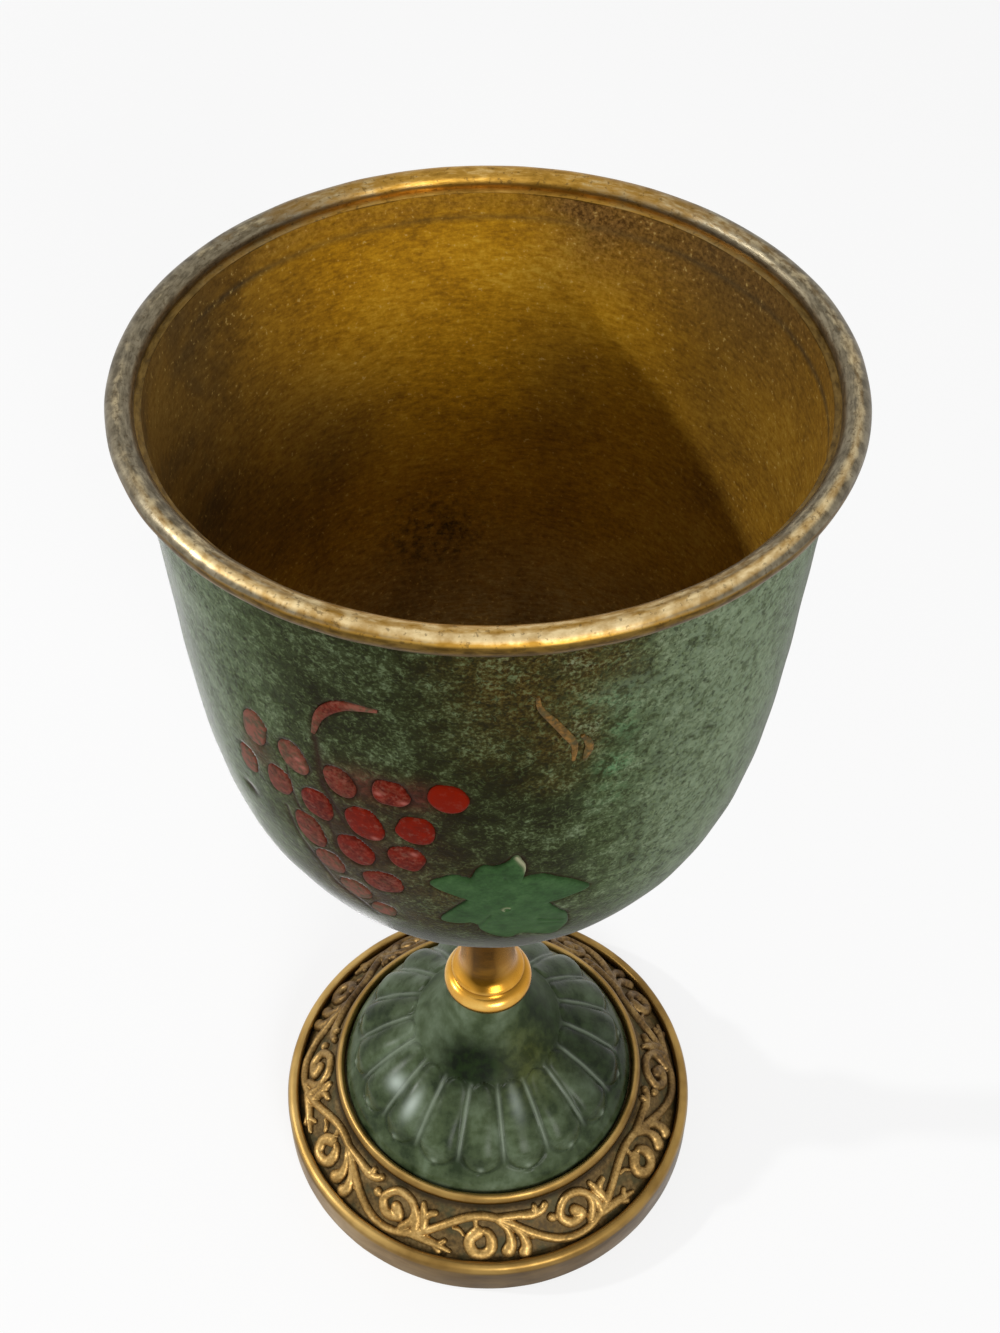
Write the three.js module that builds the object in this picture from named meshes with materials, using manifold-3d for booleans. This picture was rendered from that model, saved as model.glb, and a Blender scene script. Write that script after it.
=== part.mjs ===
// A brass goblet with a green patinated bowl, enamelled grapes and leaf, a turned stem
// and a bell foot with a vine scroll border.
// Millimetres, +Z up, standing on z = 0 with its axis on Z. The bunch of grapes faces -Y.
import * as THREE from 'three';
import { mergeVertices } from 'three/addons/utils/BufferGeometryUtils.js';
import Module from 'manifold-3d';

const wasm = await Module();
wasm.setup();

// Bowl
const RIM_RADIUS = 38;
const RIM_WIDTH = 2.8;
const RIM_HEIGHT = 2.7;
const RIM_CENTRE_RISE = 0.75;
const RIM_OUTER_END = -40;
const RIM_INNER_END = 198;
const RIM_LEDGE = 0.3;
const RIM_SKIRT_DEPTH = 1.2;
const RIM_SKIRT_BEVEL = 0.8;
const RIM_SKIRT_PROUD = 0.35;
const BOWL_RADIUS = 35.75;
const BOWL_HEIGHT = 78.8;
const SHELL_WALL = 0.75;
const LINER_WALL = 0.4;
const LINER_GAP = 0.1;

// Enamel
const CELL_DEPTH = 0.4;
const ENAMEL_PROUD = 0.2;
const ENAMEL_GAP = 0.15;
const CUT_CLEARANCE = 1;
const MITRE_LIMIT = 0.45;
const GRAPE_WIDTH = 4.1;
const GRAPE_LENGTH = 4.7;
const GRAPE_CROWN = 0.35;
const STALK_WIDTH = 1.9;
const STALK_TIP = 0.6;
const TENDRIL_WIDTH = 0.7;

// Stem
const STEM_LENGTH = 32.3;
const KNOP_RADIUS = 6.45;
const KNOP_HEIGHT = 3.2;
const KNOP_GROOVE_RADIUS = 5;
const STEP_RADIUS = 5.3;
const STEP_HEIGHT = 1.1;
const NECK_RADIUS = 4;
const NECK_FLARE = 0.5;
const NECK_FLARE_RISE = 0.7;
const NECK_RISE = 2.3;
const NECK_WAIST = 3.7;
const COLLAR_HEIGHT = 13;
const COLLAR_RADIUS = 6.6;
const COLLAR_EDGE = 1.3;
const COLLAR_THROAT = 4.9;
const COLLAR_THROAT_DROP = 3.9;
const COLLAR_BEAD = 1.4;
const BOSS_RADIUS = 4;
const BOSS_HEIGHT = 4;
const BOSS_CAP = 0.5;
const STUD_RADIUS = 1.5;
const STUD_GAP = 0.3;

// Foot
const FOOT_RADIUS = 32.2;
const FOOT_RIM_HEIGHT = 7;
const FOOT_RIM_WALL = 3.2;
const FOOT_RIM_LIP = 1.75;
const FOOT_RIM_SLOPE = 1.1;
const FOOT_RIM_EDGE = 0.35;
const FOOT_RIM_CHAMFER = 0.7;
const BORDER_RUN = 6.2;
const BORDER_DROP = 5.8;
const PLATE_THICKNESS = 1.2;
const SEAT_HEIGHT = 12;
const BEAD_WIDTH = 1.6;
const BEAD_HEIGHT = 1.35;
const BEAD_SEAT_DROP = 0.8;
const DOME_RISE = 23.6;
const DOME_TOP_RADIUS = 5.3;
const DOME_WALL = 1.3;
const DOME_CROWN = 2;
const PETAL_COUNT = 20;
const PETAL_DEPTH = 0.7;
const PETAL_LOW = 0.12;
const PETAL_HIGH = 0.6;
const WASHER_RADIUS = 3.4;
const WASHER_THICKNESS = 0.6;
const NUT_FLATS = 5.5;
const NUT_HEIGHT = 2.4;
const STUD_END = 1;

// Vine scroll
const WAVE_COUNT = 6;
const SCROLL_HEIGHT = 0.75;
const SCROLL_GAP = 0.12;
const SCROLL_BEVEL = 0.7;
const VINE_WIDTH = 1.15;
const VINE_SWAY = 2.95;
const VINE_CENTRE = 4.2;

// Clearance between pieces that follow each other's curves, and facets round a full turn
const SEAT_GAP = 0.1;
const BOWL_STEPS = 40;
const RIM_ARC_STEPS = 8;
const FOOT_STEPS = 48;
const STEM_STEPS = 24;
const PETAL_STEPS = 4;

// Heights that follow from the sizes above
const DOME_TOP = SEAT_HEIGHT + DOME_RISE;
const BOWL_BASE = DOME_TOP + STEM_LENGTH;
const BRIM = BOWL_BASE + BOWL_HEIGHT;
const BAND_OUTER = FOOT_RADIUS - FOOT_RIM_LIP - SEAT_GAP;
const BAND_INNER = BAND_OUTER - BORDER_RUN;
const BEAD_INNER = BAND_INNER - BEAD_WIDTH;
const DOME_RADIUS = BEAD_INNER - SEAT_GAP;
const BORE_RADIUS = STUD_RADIUS + STUD_GAP;
const BAND_TOP = SEAT_HEIGHT - BEAD_SEAT_DROP;
const LEDGE_HEIGHT = BAND_TOP - BORDER_DROP - PLATE_THICKNESS;
const CROWN_UNDER = DOME_TOP - DOME_CROWN;
const NUT_TOP = CROWN_UNDER - WASHER_THICKNESS;

// Outline of the bowl from the stem to the brim, as shares of its radius and height
const BOWL_OUTLINE = [
  [0, 0], [0.17, 0.006], [0.34, 0.032], [0.5, 0.08], [0.645, 0.15], [0.782, 0.251],
  [0.875, 0.355], [0.929, 0.477], [0.96, 0.642], [0.976, 0.815], [1, 1],
];

// Outline of the foot's bell from its base to its top: share of the way in, share of the way up
const DOME_OUTLINE = [
  [0, 0], [0.01, 0.06], [0.055, 0.135], [0.18, 0.27], [0.355, 0.39], [0.525, 0.48],
  [0.65, 0.555], [0.765, 0.65], [0.865, 0.77], [0.94, 0.88], [1, 1],
];

// Rows of the bunch: how far below the brim, left end on the unrolled bowl, grapes, spacing
const BUNCH_ROWS = [
  { drop: 24.4, left: -25.4, count: 5, pitch: 5.35 },
  { drop: 31, left: -28, count: 5, pitch: 5.15 },
  { drop: 37, left: -20, count: 3, pitch: 5.75 },
  { drop: 42.2, left: -17.6, count: 2, pitch: 6 },
  { drop: 46.9, left: -15, count: 1, pitch: 0 },
  { drop: 51, left: -11.4, count: 1, pitch: 0 },
];

// Centre lines on the unrolled bowl: across, and below the brim
const STALK_LINE = [[-9.8, 12.5], [-13.8, 12.6], [-16.9, 15.6], [-17.7, 19.5]];
const TENDRIL_LINES = {
  tendril_long: [[4.4, 8.9], [6.2, 12.6], [8.6, 16.6], [8.1, 20]],
  tendril_short: [[10.2, 14.6], [10.6, 17], [9.9, 19.6]],
};

// The leaf: its middle on the unrolled bowl, and its outline measured from there
const LEAF_CENTRE = [2, 45];
const LEAF_OUTLINE = [
  [-8.1, -5], [-5.4, -7.1], [-3.8, -6.8], [-3.2, -8.3], [-2.4, -9.3], [-1.3, -9.1], [0.9, -11.1],
  [1.8, -8.9], [1.4, -6.2], [3.8, -6.8], [5.4, -5.6], [9, -2.2], [6.2, -0.9], [4.5, -0.6],
  [5.6, 1.9], [6.6, 3.6], [6.9, 6], [6.5, 8.2], [5.3, 10.5], [3.7, 9.4], [1.7, 8.1], [0.4, 9.5],
  [-1.3, 8.4], [-2.7, 6.3], [-3.2, 4.5], [-4, 3.9], [-5.7, 4.4], [-7.1, 3.6], [-5.6, 0.4],
  [-4.1, -2.1], [-7, -3.8],
];
const LEAF_RINGS = 3;

// One wave of the scroll, from its crest by the dome: distance along the band and down it,
// with the width of each piece where it starts, in the middle and where it ends
const SCROLL_PIECES = {
  spiral: {
    line: [
      [18.6, 6.1], [18.4, 3.6], [16.6, 1.4], [14, 1.2], [12.4, 3.2], [13.6, 5], [15.6, 4.6], [14.8, 3.5],
    ],
    widths: [1.1, 1.1, 1.2],
    steps: 9,
  },
  ring: {
    line: [
      [0, 1.4], [-0.3, 3.7], [1.7, 4.6], [2, 6.4], [0, 7.5], [-1.9, 6.4], [-2, 5.1], [-4.2, 4.2],
    ],
    widths: [0.8, 1.2, 0.6],
    steps: 9,
  },
  inner_comma: { line: [[2.4, 1.9], [3.9, 3.3], [4.3, 5.2], [3.8, 6.9]], widths: [0.8, 1, 1.5], steps: 2 },
  outer_comma: { line: [[4.4, 2.6], [5.7, 4.2], [6.2, 6], [5.8, 7.5]], widths: [0.8, 1, 1.5], steps: 2 },
  branch: { line: [[2.6, 1.5], [5.6, 1.6], [8.4, 1.9], [10, 1.3]], widths: [0.9, 1, 1.5], steps: 2 },
  shoot: { line: [[-11.9, 5.9], [-10.8, 4.3], [-10.7, 2.9], [-11.4, 1.7]], widths: [1.2, 1.2, 1], steps: 2 },
  lobed_leaf: { line: [[-8.6, 5.2], [-9, 3.2], [-9.6, 1.3]], widths: [0.9, 2, 0.8], steps: 2 },
  low_leaf: { line: [[-10.4, 6], [-8, 6.4], [-6.4, 6.6], [-4.6, 7.1]], widths: [1.4, 1.7, 0.6], steps: 2 },
};

const ROUND = Math.PI * 2;
const at = (x, y) => new THREE.Vector2(x, y);

// Materials
function finish(color, roughness, metalness) {
  return new THREE.MeshStandardMaterial({ color, roughness, metalness });
}

const patina = finish(0x4a5c48, 0.45, 0.3);
const innerBrass = finish(0x8a6420, 0.45, 0.9);
const wornBrass = finish(0xbfa168, 0.4, 0.9);
const polishedBrass = finish(0xe0a040, 0.2, 1);
const sunkGround = finish(0x554c41, 0.7, 0.5);
const redEnamel = finish(0xa82a1c, 0.25, 0);
const greenEnamel = finish(0x3f6b45, 0.3, 0);
const steel = finish(0x9a9a96, 0.4, 1);

// Geometry with its shared vertices merged
function welded(geometry) {
  const bare = geometry.clone();
  bare.deleteAttribute('normal');
  bare.deleteAttribute('uv');
  return mergeVertices(bare, 1e-4);
}

function toSolid(geometry) {
  const shape = welded(geometry);
  const vertProperties = new Float32Array(shape.attributes.position.array);
  const triVerts = new Uint32Array(shape.index.array);
  return new wasm.Manifold(new wasm.Mesh({ numProp: 3, vertProperties, triVerts }));
}

function toGeometry(solid) {
  const mesh = solid.getMesh();
  const geometry = new THREE.BufferGeometry();
  geometry.setAttribute('position', new THREE.BufferAttribute(new Float32Array(mesh.vertProperties), 3));
  geometry.setIndex(new THREE.BufferAttribute(new Uint32Array(mesh.triVerts), 1));
  return geometry;
}

// Turned piece: a section of radius and height points, turned round Z
function turned(section, steps) {
  const geometry = new THREE.LatheGeometry(section, steps);
  geometry.rotateX(Math.PI / 2);
  return welded(geometry);
}

// Ring whose section is a closed loop off the axis, listed outside face upwards
function turnedRing(section, steps) {
  return turned([...section, section[0]], steps);
}

function arc(centre, radiusX, radiusY, from, to, steps) {
  const points = [];
  for (let i = 0; i <= steps; i += 1) {
    const angle = THREE.MathUtils.degToRad(from + ((to - from) * i) / steps);
    points.push(at(centre.x + radiusX * Math.cos(angle), centre.y + radiusY * Math.sin(angle)));
  }
  return points;
}

const bowlCurve = new THREE.SplineCurve(
  BOWL_OUTLINE.map(([share, rise]) => at(share * BOWL_RADIUS, BOWL_BASE + rise * BOWL_HEIGHT)),
);
const domeCurve = new THREE.SplineCurve(
  DOME_OUTLINE.map(([inward, rise]) => at(
    DOME_RADIUS - inward * (DOME_RADIUS - DOME_TOP_RADIUS),
    SEAT_HEIGHT + rise * DOME_RISE,
  )),
);

// Outward normal of an outline that runs upwards with the axis on its left
function outward(curve, t) {
  const along = curve.getTangent(t);
  return at(along.y, -along.x);
}

// Point of the bowl's outline, moved out by proud along its normal
function bowlPoint(t, proud) {
  const normal = t < 1e-6 ? at(0, -1) : outward(bowlCurve, t);
  const point = bowlCurve.getPoint(t).addScaledVector(normal, proud);
  point.x = Math.max(point.x, 0);
  return point;
}

const BOWL_STOPS = [0, 0.12, 0.24, 0.35, 0.45, 0.55, 0.66, 0.82, 1];

function bowlSkin(proudOutside, proudInside, top) {
  const outside = BOWL_STOPS.map((t) => bowlPoint(t, proudOutside));
  const inside = BOWL_STOPS.map((t) => bowlPoint(t, proudInside)).reverse();
  outside[outside.length - 1].y = top;
  inside[0].y = top;
  return turned([...outside, ...inside], BOWL_STEPS);
}

// The unrolled bowl: across is the distance round it, drop the distance down it from the brim
const DROP_STEPS = 400;
const dropTable = [];
for (let i = 0, drop = 0, last = null; i <= DROP_STEPS; i += 1) {
  const point = bowlCurve.getPoint(1 - i / DROP_STEPS);
  drop += last ? point.distanceTo(last) : 0;
  dropTable.push(drop);
  last = point;
}

function onBowl(across, drop, proud) {
  let i = 0;
  while (dropTable[i + 1] < drop) i += 1;
  const share = (drop - dropTable[i]) / (dropTable[i + 1] - dropTable[i]);
  const point = bowlPoint(1 - (i + share) / DROP_STEPS, proud);
  const turn = across / bowlPoint(1 - (i + share) / DROP_STEPS, 0).x;
  return new THREE.Vector3(point.x * Math.sin(turn), -point.x * Math.cos(turn), point.y);
}

// Closed body from the corners of its triangles
function bodyFromTriangles(triangles) {
  const positions = triangles.flatMap((corner) => [corner.x, corner.y, corner.z]);
  const geometry = new THREE.BufferGeometry();
  geometry.setAttribute('position', new THREE.Float32BufferAttribute(positions, 3));
  return welded(geometry);
}

// Closed body between two stacks of rings. The first ring of each is its middle point repeated.
function discBody(low, high) {
  const triangles = [];
  const count = low[0].length;
  for (let ring = 0; ring + 1 < low.length; ring += 1) {
    for (let i = 0; i < count; i += 1) {
      const j = (i + 1) % count;
      const [a, b, c, d] = [high[ring][i], high[ring + 1][i], high[ring + 1][j], high[ring][j]];
      const [e, f, g, h] = [low[ring][i], low[ring + 1][i], low[ring + 1][j], low[ring][j]];
      triangles.push(a, c, b, e, f, g);
      if (ring > 0) triangles.push(a, d, c, e, g, h);
    }
  }
  const rim = low.length - 1;
  for (let i = 0; i < count; i += 1) {
    const j = (i + 1) % count;
    triangles.push(low[rim][i], high[rim][j], low[rim][j], low[rim][i], high[rim][i], high[rim][j]);
  }
  return bodyFromTriangles(triangles);
}

// Rings of points from the middle of an outline to its edge, laid on the bowl
function discRings(centre, outline, rings, proudAt) {
  const list = [];
  for (let ring = 0; ring <= rings; ring += 1) {
    const share = ring / rings;
    list.push(outline.map(([x, y]) => onBowl(
      centre[0] + (x - centre[0]) * share,
      centre[1] + (y - centre[1]) * share,
      proudAt(share),
    )));
  }
  return list;
}

// Outline moved outwards by a distance along the mean normal of its two edges
function grown(outline, by) {
  return outline.map((point, i) => {
    const before = outline[(i + outline.length - 1) % outline.length];
    const after = outline[(i + 1) % outline.length];
    const edgeIn = at(point[0] - before[0], point[1] - before[1]).normalize();
    const edgeOut = at(after[0] - point[0], after[1] - point[1]).normalize();
    const normal = at(edgeIn.y + edgeOut.y, -edgeIn.x - edgeOut.x).normalize();
    const reach = by / Math.max(normal.dot(at(edgeIn.y, -edgeIn.x)), MITRE_LIMIT);
    return [point[0] + normal.x * reach, point[1] + normal.y * reach];
  });
}

// An enamel piece and the cell it lies in, both following the bowl
function discInlay(centre, outline, rings, crown) {
  const floor = () => -CELL_DEPTH + ENAMEL_GAP;
  const face = (share) => ENAMEL_PROUD + crown * (1 - share * share);
  const cell = grown(outline, ENAMEL_GAP);
  return {
    piece: discBody(discRings(centre, outline, rings, floor), discRings(centre, outline, rings, face)),
    cell: discBody(
      discRings(centre, cell, rings, () => -CELL_DEPTH),
      discRings(centre, cell, rings, () => ENAMEL_PROUD + crown + CUT_CLEARANCE),
    ),
  };
}

// A strip along a centre line on the bowl, from one height to another
function stripOnBowl(line, widthAt, extra, low, high, steps) {
  const curve = new THREE.SplineCurve(line.map(([x, y]) => at(x, y)));
  const rows = [];
  for (let i = 0; i <= steps; i += 1) {
    const point = curve.getPoint(i / steps);
    const along = curve.getTangent(i / steps);
    const reach = widthAt(i / steps) / 2 + extra;
    if (i === 0) point.addScaledVector(along, -extra);
    if (i === steps) point.addScaledVector(along, extra);
    rows.push([
      at(point.x + along.y * reach, point.y - along.x * reach),
      at(point.x - along.y * reach, point.y + along.x * reach),
    ]);
  }
  const corner = (row, side, proud) => onBowl(rows[row][side].x, rows[row][side].y, proud);
  const triangles = [];
  const quad = (a, b, c, d) => triangles.push(a, b, c, a, c, d);
  for (let i = 0; i < steps; i += 1) {
    const [lowA, lowB] = [corner(i, 0, low), corner(i, 1, low)];
    const [lowC, lowD] = [corner(i + 1, 0, low), corner(i + 1, 1, low)];
    const [topA, topB] = [corner(i, 0, high), corner(i, 1, high)];
    const [topC, topD] = [corner(i + 1, 0, high), corner(i + 1, 1, high)];
    quad(topA, topB, topD, topC);
    quad(lowA, lowC, lowD, lowB);
    quad(lowA, topA, topC, lowC);
    quad(lowB, lowD, topD, topB);
    if (i === 0) quad(lowA, lowB, topB, topA);
    if (i === steps - 1) quad(lowC, topC, topD, lowD);
  }
  return bodyFromTriangles(triangles);
}

const STRIP_STEPS = 7;

function stripInlay(line, widthAt) {
  return {
    piece: stripOnBowl(line, widthAt, 0, -CELL_DEPTH + ENAMEL_GAP, ENAMEL_PROUD, STRIP_STEPS),
    cell: stripOnBowl(line, widthAt, ENAMEL_GAP, -CELL_DEPTH, ENAMEL_PROUD + CUT_CLEARANCE, STRIP_STEPS),
  };
}

const GRAPE_SIDES = 10;

function grapeInlay(across, drop) {
  const outline = [];
  for (let i = 0; i < GRAPE_SIDES; i += 1) {
    const angle = (ROUND * i) / GRAPE_SIDES;
    const [reachX, reachY] = [(GRAPE_WIDTH / 2) * Math.cos(angle), (GRAPE_LENGTH / 2) * Math.sin(angle)];
    outline.push([across + reachX, drop + reachY]);
  }
  return discInlay([across, drop], outline, 1, GRAPE_CROWN);
}

function leafInlay() {
  const outline = LEAF_OUTLINE.map(([across, drop]) => [LEAF_CENTRE[0] + across, LEAF_CENTRE[1] + drop]);
  return discInlay(LEAF_CENTRE, outline, LEAF_RINGS, 0);
}

// Bowl
function bowlShell(cells) {
  const skin = toSolid(bowlSkin(0, -SHELL_WALL, BRIM));
  return welded(toGeometry(cells.reduce((solid, cell) => solid.subtract(toSolid(cell)), skin)));
}

function bowlLiner() {
  const outside = -SHELL_WALL - LINER_GAP;
  return bowlSkin(outside, outside - LINER_WALL, BRIM);
}

function rimRing() {
  const skirtInside = BOWL_RADIUS + SEAT_GAP;
  const skirtOutside = BOWL_RADIUS + RIM_SKIRT_PROUD;
  const linerInside = BOWL_RADIUS - SHELL_WALL - LINER_GAP - LINER_WALL;
  const centre = at(RIM_RADIUS - RIM_WIDTH / 2, BRIM + RIM_CENTRE_RISE);
  return turnedRing([
    at(skirtInside, BRIM - RIM_SKIRT_DEPTH),
    at(skirtOutside, BRIM - RIM_SKIRT_DEPTH),
    at(skirtOutside, BRIM - RIM_SKIRT_DEPTH + RIM_SKIRT_BEVEL),
    ...arc(centre, RIM_WIDTH / 2, RIM_HEIGHT / 2, RIM_OUTER_END, RIM_INNER_END, RIM_ARC_STEPS),
    at(linerInside, BRIM + RIM_LEDGE),
    at(linerInside, BRIM),
    at(skirtInside, BRIM),
  ], BOWL_STEPS);
}

// Stem
const UNDER_STOPS = [0.2, 0.16, 0.12, 0.08, 0.04];

// Points just under the bowl, from one radius in towards the axis to another
function underBowl(outer, inner) {
  const points = UNDER_STOPS.map((t) => bowlPoint(t, SEAT_GAP));
  return points.filter((point) => point.x < outer && point.x > inner);
}

function bowlHeightAt(radius) {
  let t = 0;
  while (bowlPoint(t, SEAT_GAP).x < radius) t += 0.002;
  return bowlPoint(t, SEAT_GAP).y;
}

function bowlBoss() {
  const base = BOWL_BASE - BOSS_HEIGHT;
  return turned([
    at(0, BOWL_BASE - BOSS_CAP),
    at(BORE_RADIUS, BOWL_BASE - BOSS_CAP),
    at(BORE_RADIUS, base),
    at(BOSS_RADIUS, base),
    at(BOSS_RADIUS, bowlHeightAt(BOSS_RADIUS)),
    ...underBowl(BOSS_RADIUS, BORE_RADIUS),
    at(0, BOWL_BASE - SEAT_GAP),
  ], STEM_STEPS);
}

function stemCollar() {
  const base = BOWL_BASE - COLLAR_HEIGHT;
  const seat = BOWL_BASE - BOSS_HEIGHT;
  const bossRoom = BOSS_RADIUS + SEAT_GAP;
  const edge = bowlHeightAt(COLLAR_RADIUS);
  const beadCentre = at(COLLAR_RADIUS - COLLAR_BEAD, base + COLLAR_HEIGHT / 2);
  return turnedRing([
    at(BORE_RADIUS, base),
    at(NECK_RADIUS, base),
    ...arc(beadCentre, COLLAR_BEAD, COLLAR_BEAD, -70, 70, 5),
    at(COLLAR_THROAT, BOWL_BASE - COLLAR_THROAT_DROP),
    at(COLLAR_RADIUS, edge - COLLAR_EDGE),
    at(COLLAR_RADIUS, edge),
    ...underBowl(COLLAR_RADIUS, bossRoom),
    at(bossRoom, bowlHeightAt(bossRoom)),
    at(bossRoom, seat),
    at(BORE_RADIUS, seat),
  ], STEM_STEPS);
}

function stemKnop() {
  const top = BOWL_BASE - COLLAR_HEIGHT;
  const half = KNOP_HEIGHT / 2;
  const stepBase = DOME_TOP + KNOP_HEIGHT;
  const stepTop = stepBase + STEP_HEIGHT;
  return turnedRing([
    at(BORE_RADIUS, DOME_TOP),
    ...arc(at(KNOP_RADIUS - half, DOME_TOP + half), half, half, -80, 75, 6),
    at(KNOP_GROOVE_RADIUS, stepBase),
    at(STEP_RADIUS, stepBase + STEP_HEIGHT / 2),
    at(STEP_RADIUS, stepTop),
    at(NECK_RADIUS + NECK_FLARE, stepTop + NECK_FLARE_RISE),
    at(NECK_RADIUS, stepTop + NECK_RISE),
    at(NECK_WAIST, (stepTop + top) / 2),
    at(NECK_RADIUS, top),
    at(BORE_RADIUS, top),
  ], STEM_STEPS);
}

function tieStud() {
  const foot = NUT_TOP - NUT_HEIGHT - STUD_END;
  const length = BOWL_BASE - BOSS_CAP - STUD_GAP - foot;
  const stud = new THREE.CylinderGeometry(STUD_RADIUS, STUD_RADIUS, length, STEM_STEPS / 2);
  stud.rotateX(Math.PI / 2);
  stud.translate(0, 0, foot + length / 2);
  return welded(stud);
}

function footWasher() {
  return turnedRing([
    at(BORE_RADIUS, NUT_TOP),
    at(WASHER_RADIUS, NUT_TOP),
    at(WASHER_RADIUS, CROWN_UNDER),
    at(BORE_RADIUS, CROWN_UNDER),
  ], STEM_STEPS);
}

function footNut() {
  const corner = NUT_FLATS / Math.sqrt(3);
  const shape = new THREE.Shape(arc(at(0, 0), corner, corner, 0, 300, 5));
  const hole = new THREE.Path();
  hole.absarc(0, 0, BORE_RADIUS, 0, ROUND, true);
  shape.holes.push(hole);
  const nut = new THREE.ExtrudeGeometry(shape, { depth: NUT_HEIGHT, bevelEnabled: false, curveSegments: 6 });
  nut.translate(0, 0, NUT_TOP - NUT_HEIGHT);
  return welded(nut);
}

// Foot
const DOME_STOPS = [0, 0.12, 0.2, 0.3, 0.4, 0.5, 0.62, 0.8, 1];
const DOME_UNDER_STOPS = [0.85, 0.65, 0.4, 0.2];

// How deep the groove between two petals is at a share of the outline and a turn
function petalDip(t, turn) {
  if (t < PETAL_LOW || t > PETAL_HIGH) return 0;
  const length = Math.sin((Math.PI * (t - PETAL_LOW)) / (PETAL_HIGH - PETAL_LOW));
  const across = Math.abs(Math.sin((turn * PETAL_COUNT) / 2));
  return PETAL_DEPTH * Math.sqrt(length) * (1 - across);
}

function footDome() {
  const steps = PETAL_COUNT * PETAL_STEPS;
  const outside = DOME_STOPS.map((t) => domeCurve.getPoint(t));
  const inside = DOME_UNDER_STOPS
    .map((t) => domeCurve.getPoint(t).addScaledVector(outward(domeCurve, t), -DOME_WALL))
    .filter((point) => point.y < CROWN_UNDER && point.y > SEAT_HEIGHT + SEAT_GAP);
  const section = [
    ...outside,
    at(BORE_RADIUS, DOME_TOP),
    at(BORE_RADIUS, CROWN_UNDER),
    at(Math.max(inside[0].x, WASHER_RADIUS + SEAT_GAP), CROWN_UNDER),
    ...inside,
    at(DOME_RADIUS - DOME_WALL, SEAT_HEIGHT),
  ];
  const geometry = turnedRing(section, steps);
  const position = geometry.attributes.position;
  outside.forEach((ring, k) => {
    for (let i = 0; i < position.count; i += 1) {
      const radius = Math.hypot(position.getX(i), position.getY(i));
      if (Math.abs(position.getZ(i) - ring.y) > 1e-3 || Math.abs(radius - ring.x) > 1e-3) continue;
      const turn = Math.atan2(position.getX(i), -position.getY(i));
      const less = 1 - petalDip(DOME_STOPS[k], turn) / ring.x;
      position.setXY(i, position.getX(i) * less, position.getY(i) * less);
    }
  });
  return geometry;
}

function domeBead() {
  const half = BEAD_WIDTH / 2;
  const centre = at(BEAD_INNER + half, SEAT_HEIGHT);
  return turnedRing(arc(centre, half - SEAT_GAP / 2, BEAD_HEIGHT, 0, 180, 6), FOOT_STEPS);
}

// The border slopes down from the bead to the foot's rim
const BAND_LENGTH = Math.hypot(BORDER_RUN, BORDER_DROP);
const BAND_DOWN = at(BORDER_RUN / BAND_LENGTH, -BORDER_DROP / BAND_LENGTH);
const BAND_OUT = at(-BAND_DOWN.y, BAND_DOWN.x);

function borderPlate() {
  const flange = DOME_RADIUS - DOME_WALL - SEAT_GAP * 2;
  const under = (r, z) => at(r, z).addScaledVector(BAND_OUT, -PLATE_THICKNESS);
  const underInner = under(BAND_INNER, BAND_TOP);
  const underOuter = under(BAND_OUTER, BAND_TOP - BORDER_DROP);
  return turnedRing([
    at(flange, SEAT_HEIGHT - PLATE_THICKNESS),
    underInner,
    underOuter,
    at(underOuter.x, LEDGE_HEIGHT),
    at(BAND_OUTER, LEDGE_HEIGHT),
    at(BAND_OUTER, BAND_TOP - BORDER_DROP),
    at(BAND_INNER, BAND_TOP),
    at(BAND_INNER, SEAT_HEIGHT),
    at(flange, SEAT_HEIGHT),
  ], FOOT_STEPS);
}

function footRim() {
  const inside = FOOT_RADIUS - FOOT_RIM_WALL;
  const lipInside = FOOT_RADIUS - FOOT_RIM_LIP;
  return turnedRing([
    at(inside, 0),
    at(FOOT_RADIUS - FOOT_RIM_EDGE, 0),
    at(FOOT_RADIUS, FOOT_RIM_CHAMFER),
    at(FOOT_RADIUS, FOOT_RIM_HEIGHT - FOOT_RIM_SLOPE),
    at(FOOT_RADIUS - FOOT_RIM_EDGE, FOOT_RIM_HEIGHT - FOOT_RIM_EDGE),
    at(lipInside + FOOT_RIM_EDGE, FOOT_RIM_HEIGHT),
    at(lipInside, FOOT_RIM_HEIGHT - FOOT_RIM_EDGE),
    at(lipInside, LEDGE_HEIGHT),
    at(inside, LEDGE_HEIGHT),
  ], FOOT_STEPS);
}

// Vine scroll: along is the distance round the middle of the band, down the distance down it
const BAND_MIDDLE = BAND_INNER + BORDER_RUN / 2;
const WAVE_LENGTH = (ROUND * BAND_MIDDLE) / WAVE_COUNT;
const WAVE_STEPS = 9;
const SCROLL_TOLERANCE = 0.06;

function onBand(along, down, height) {
  const turn = along / BAND_MIDDLE;
  const point = at(BAND_INNER, BAND_TOP)
    .addScaledVector(BAND_DOWN, down)
    .addScaledVector(BAND_OUT, height);
  return new THREE.Vector3(point.x * Math.sin(turn), -point.x * Math.cos(turn), point.y);
}

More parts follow.
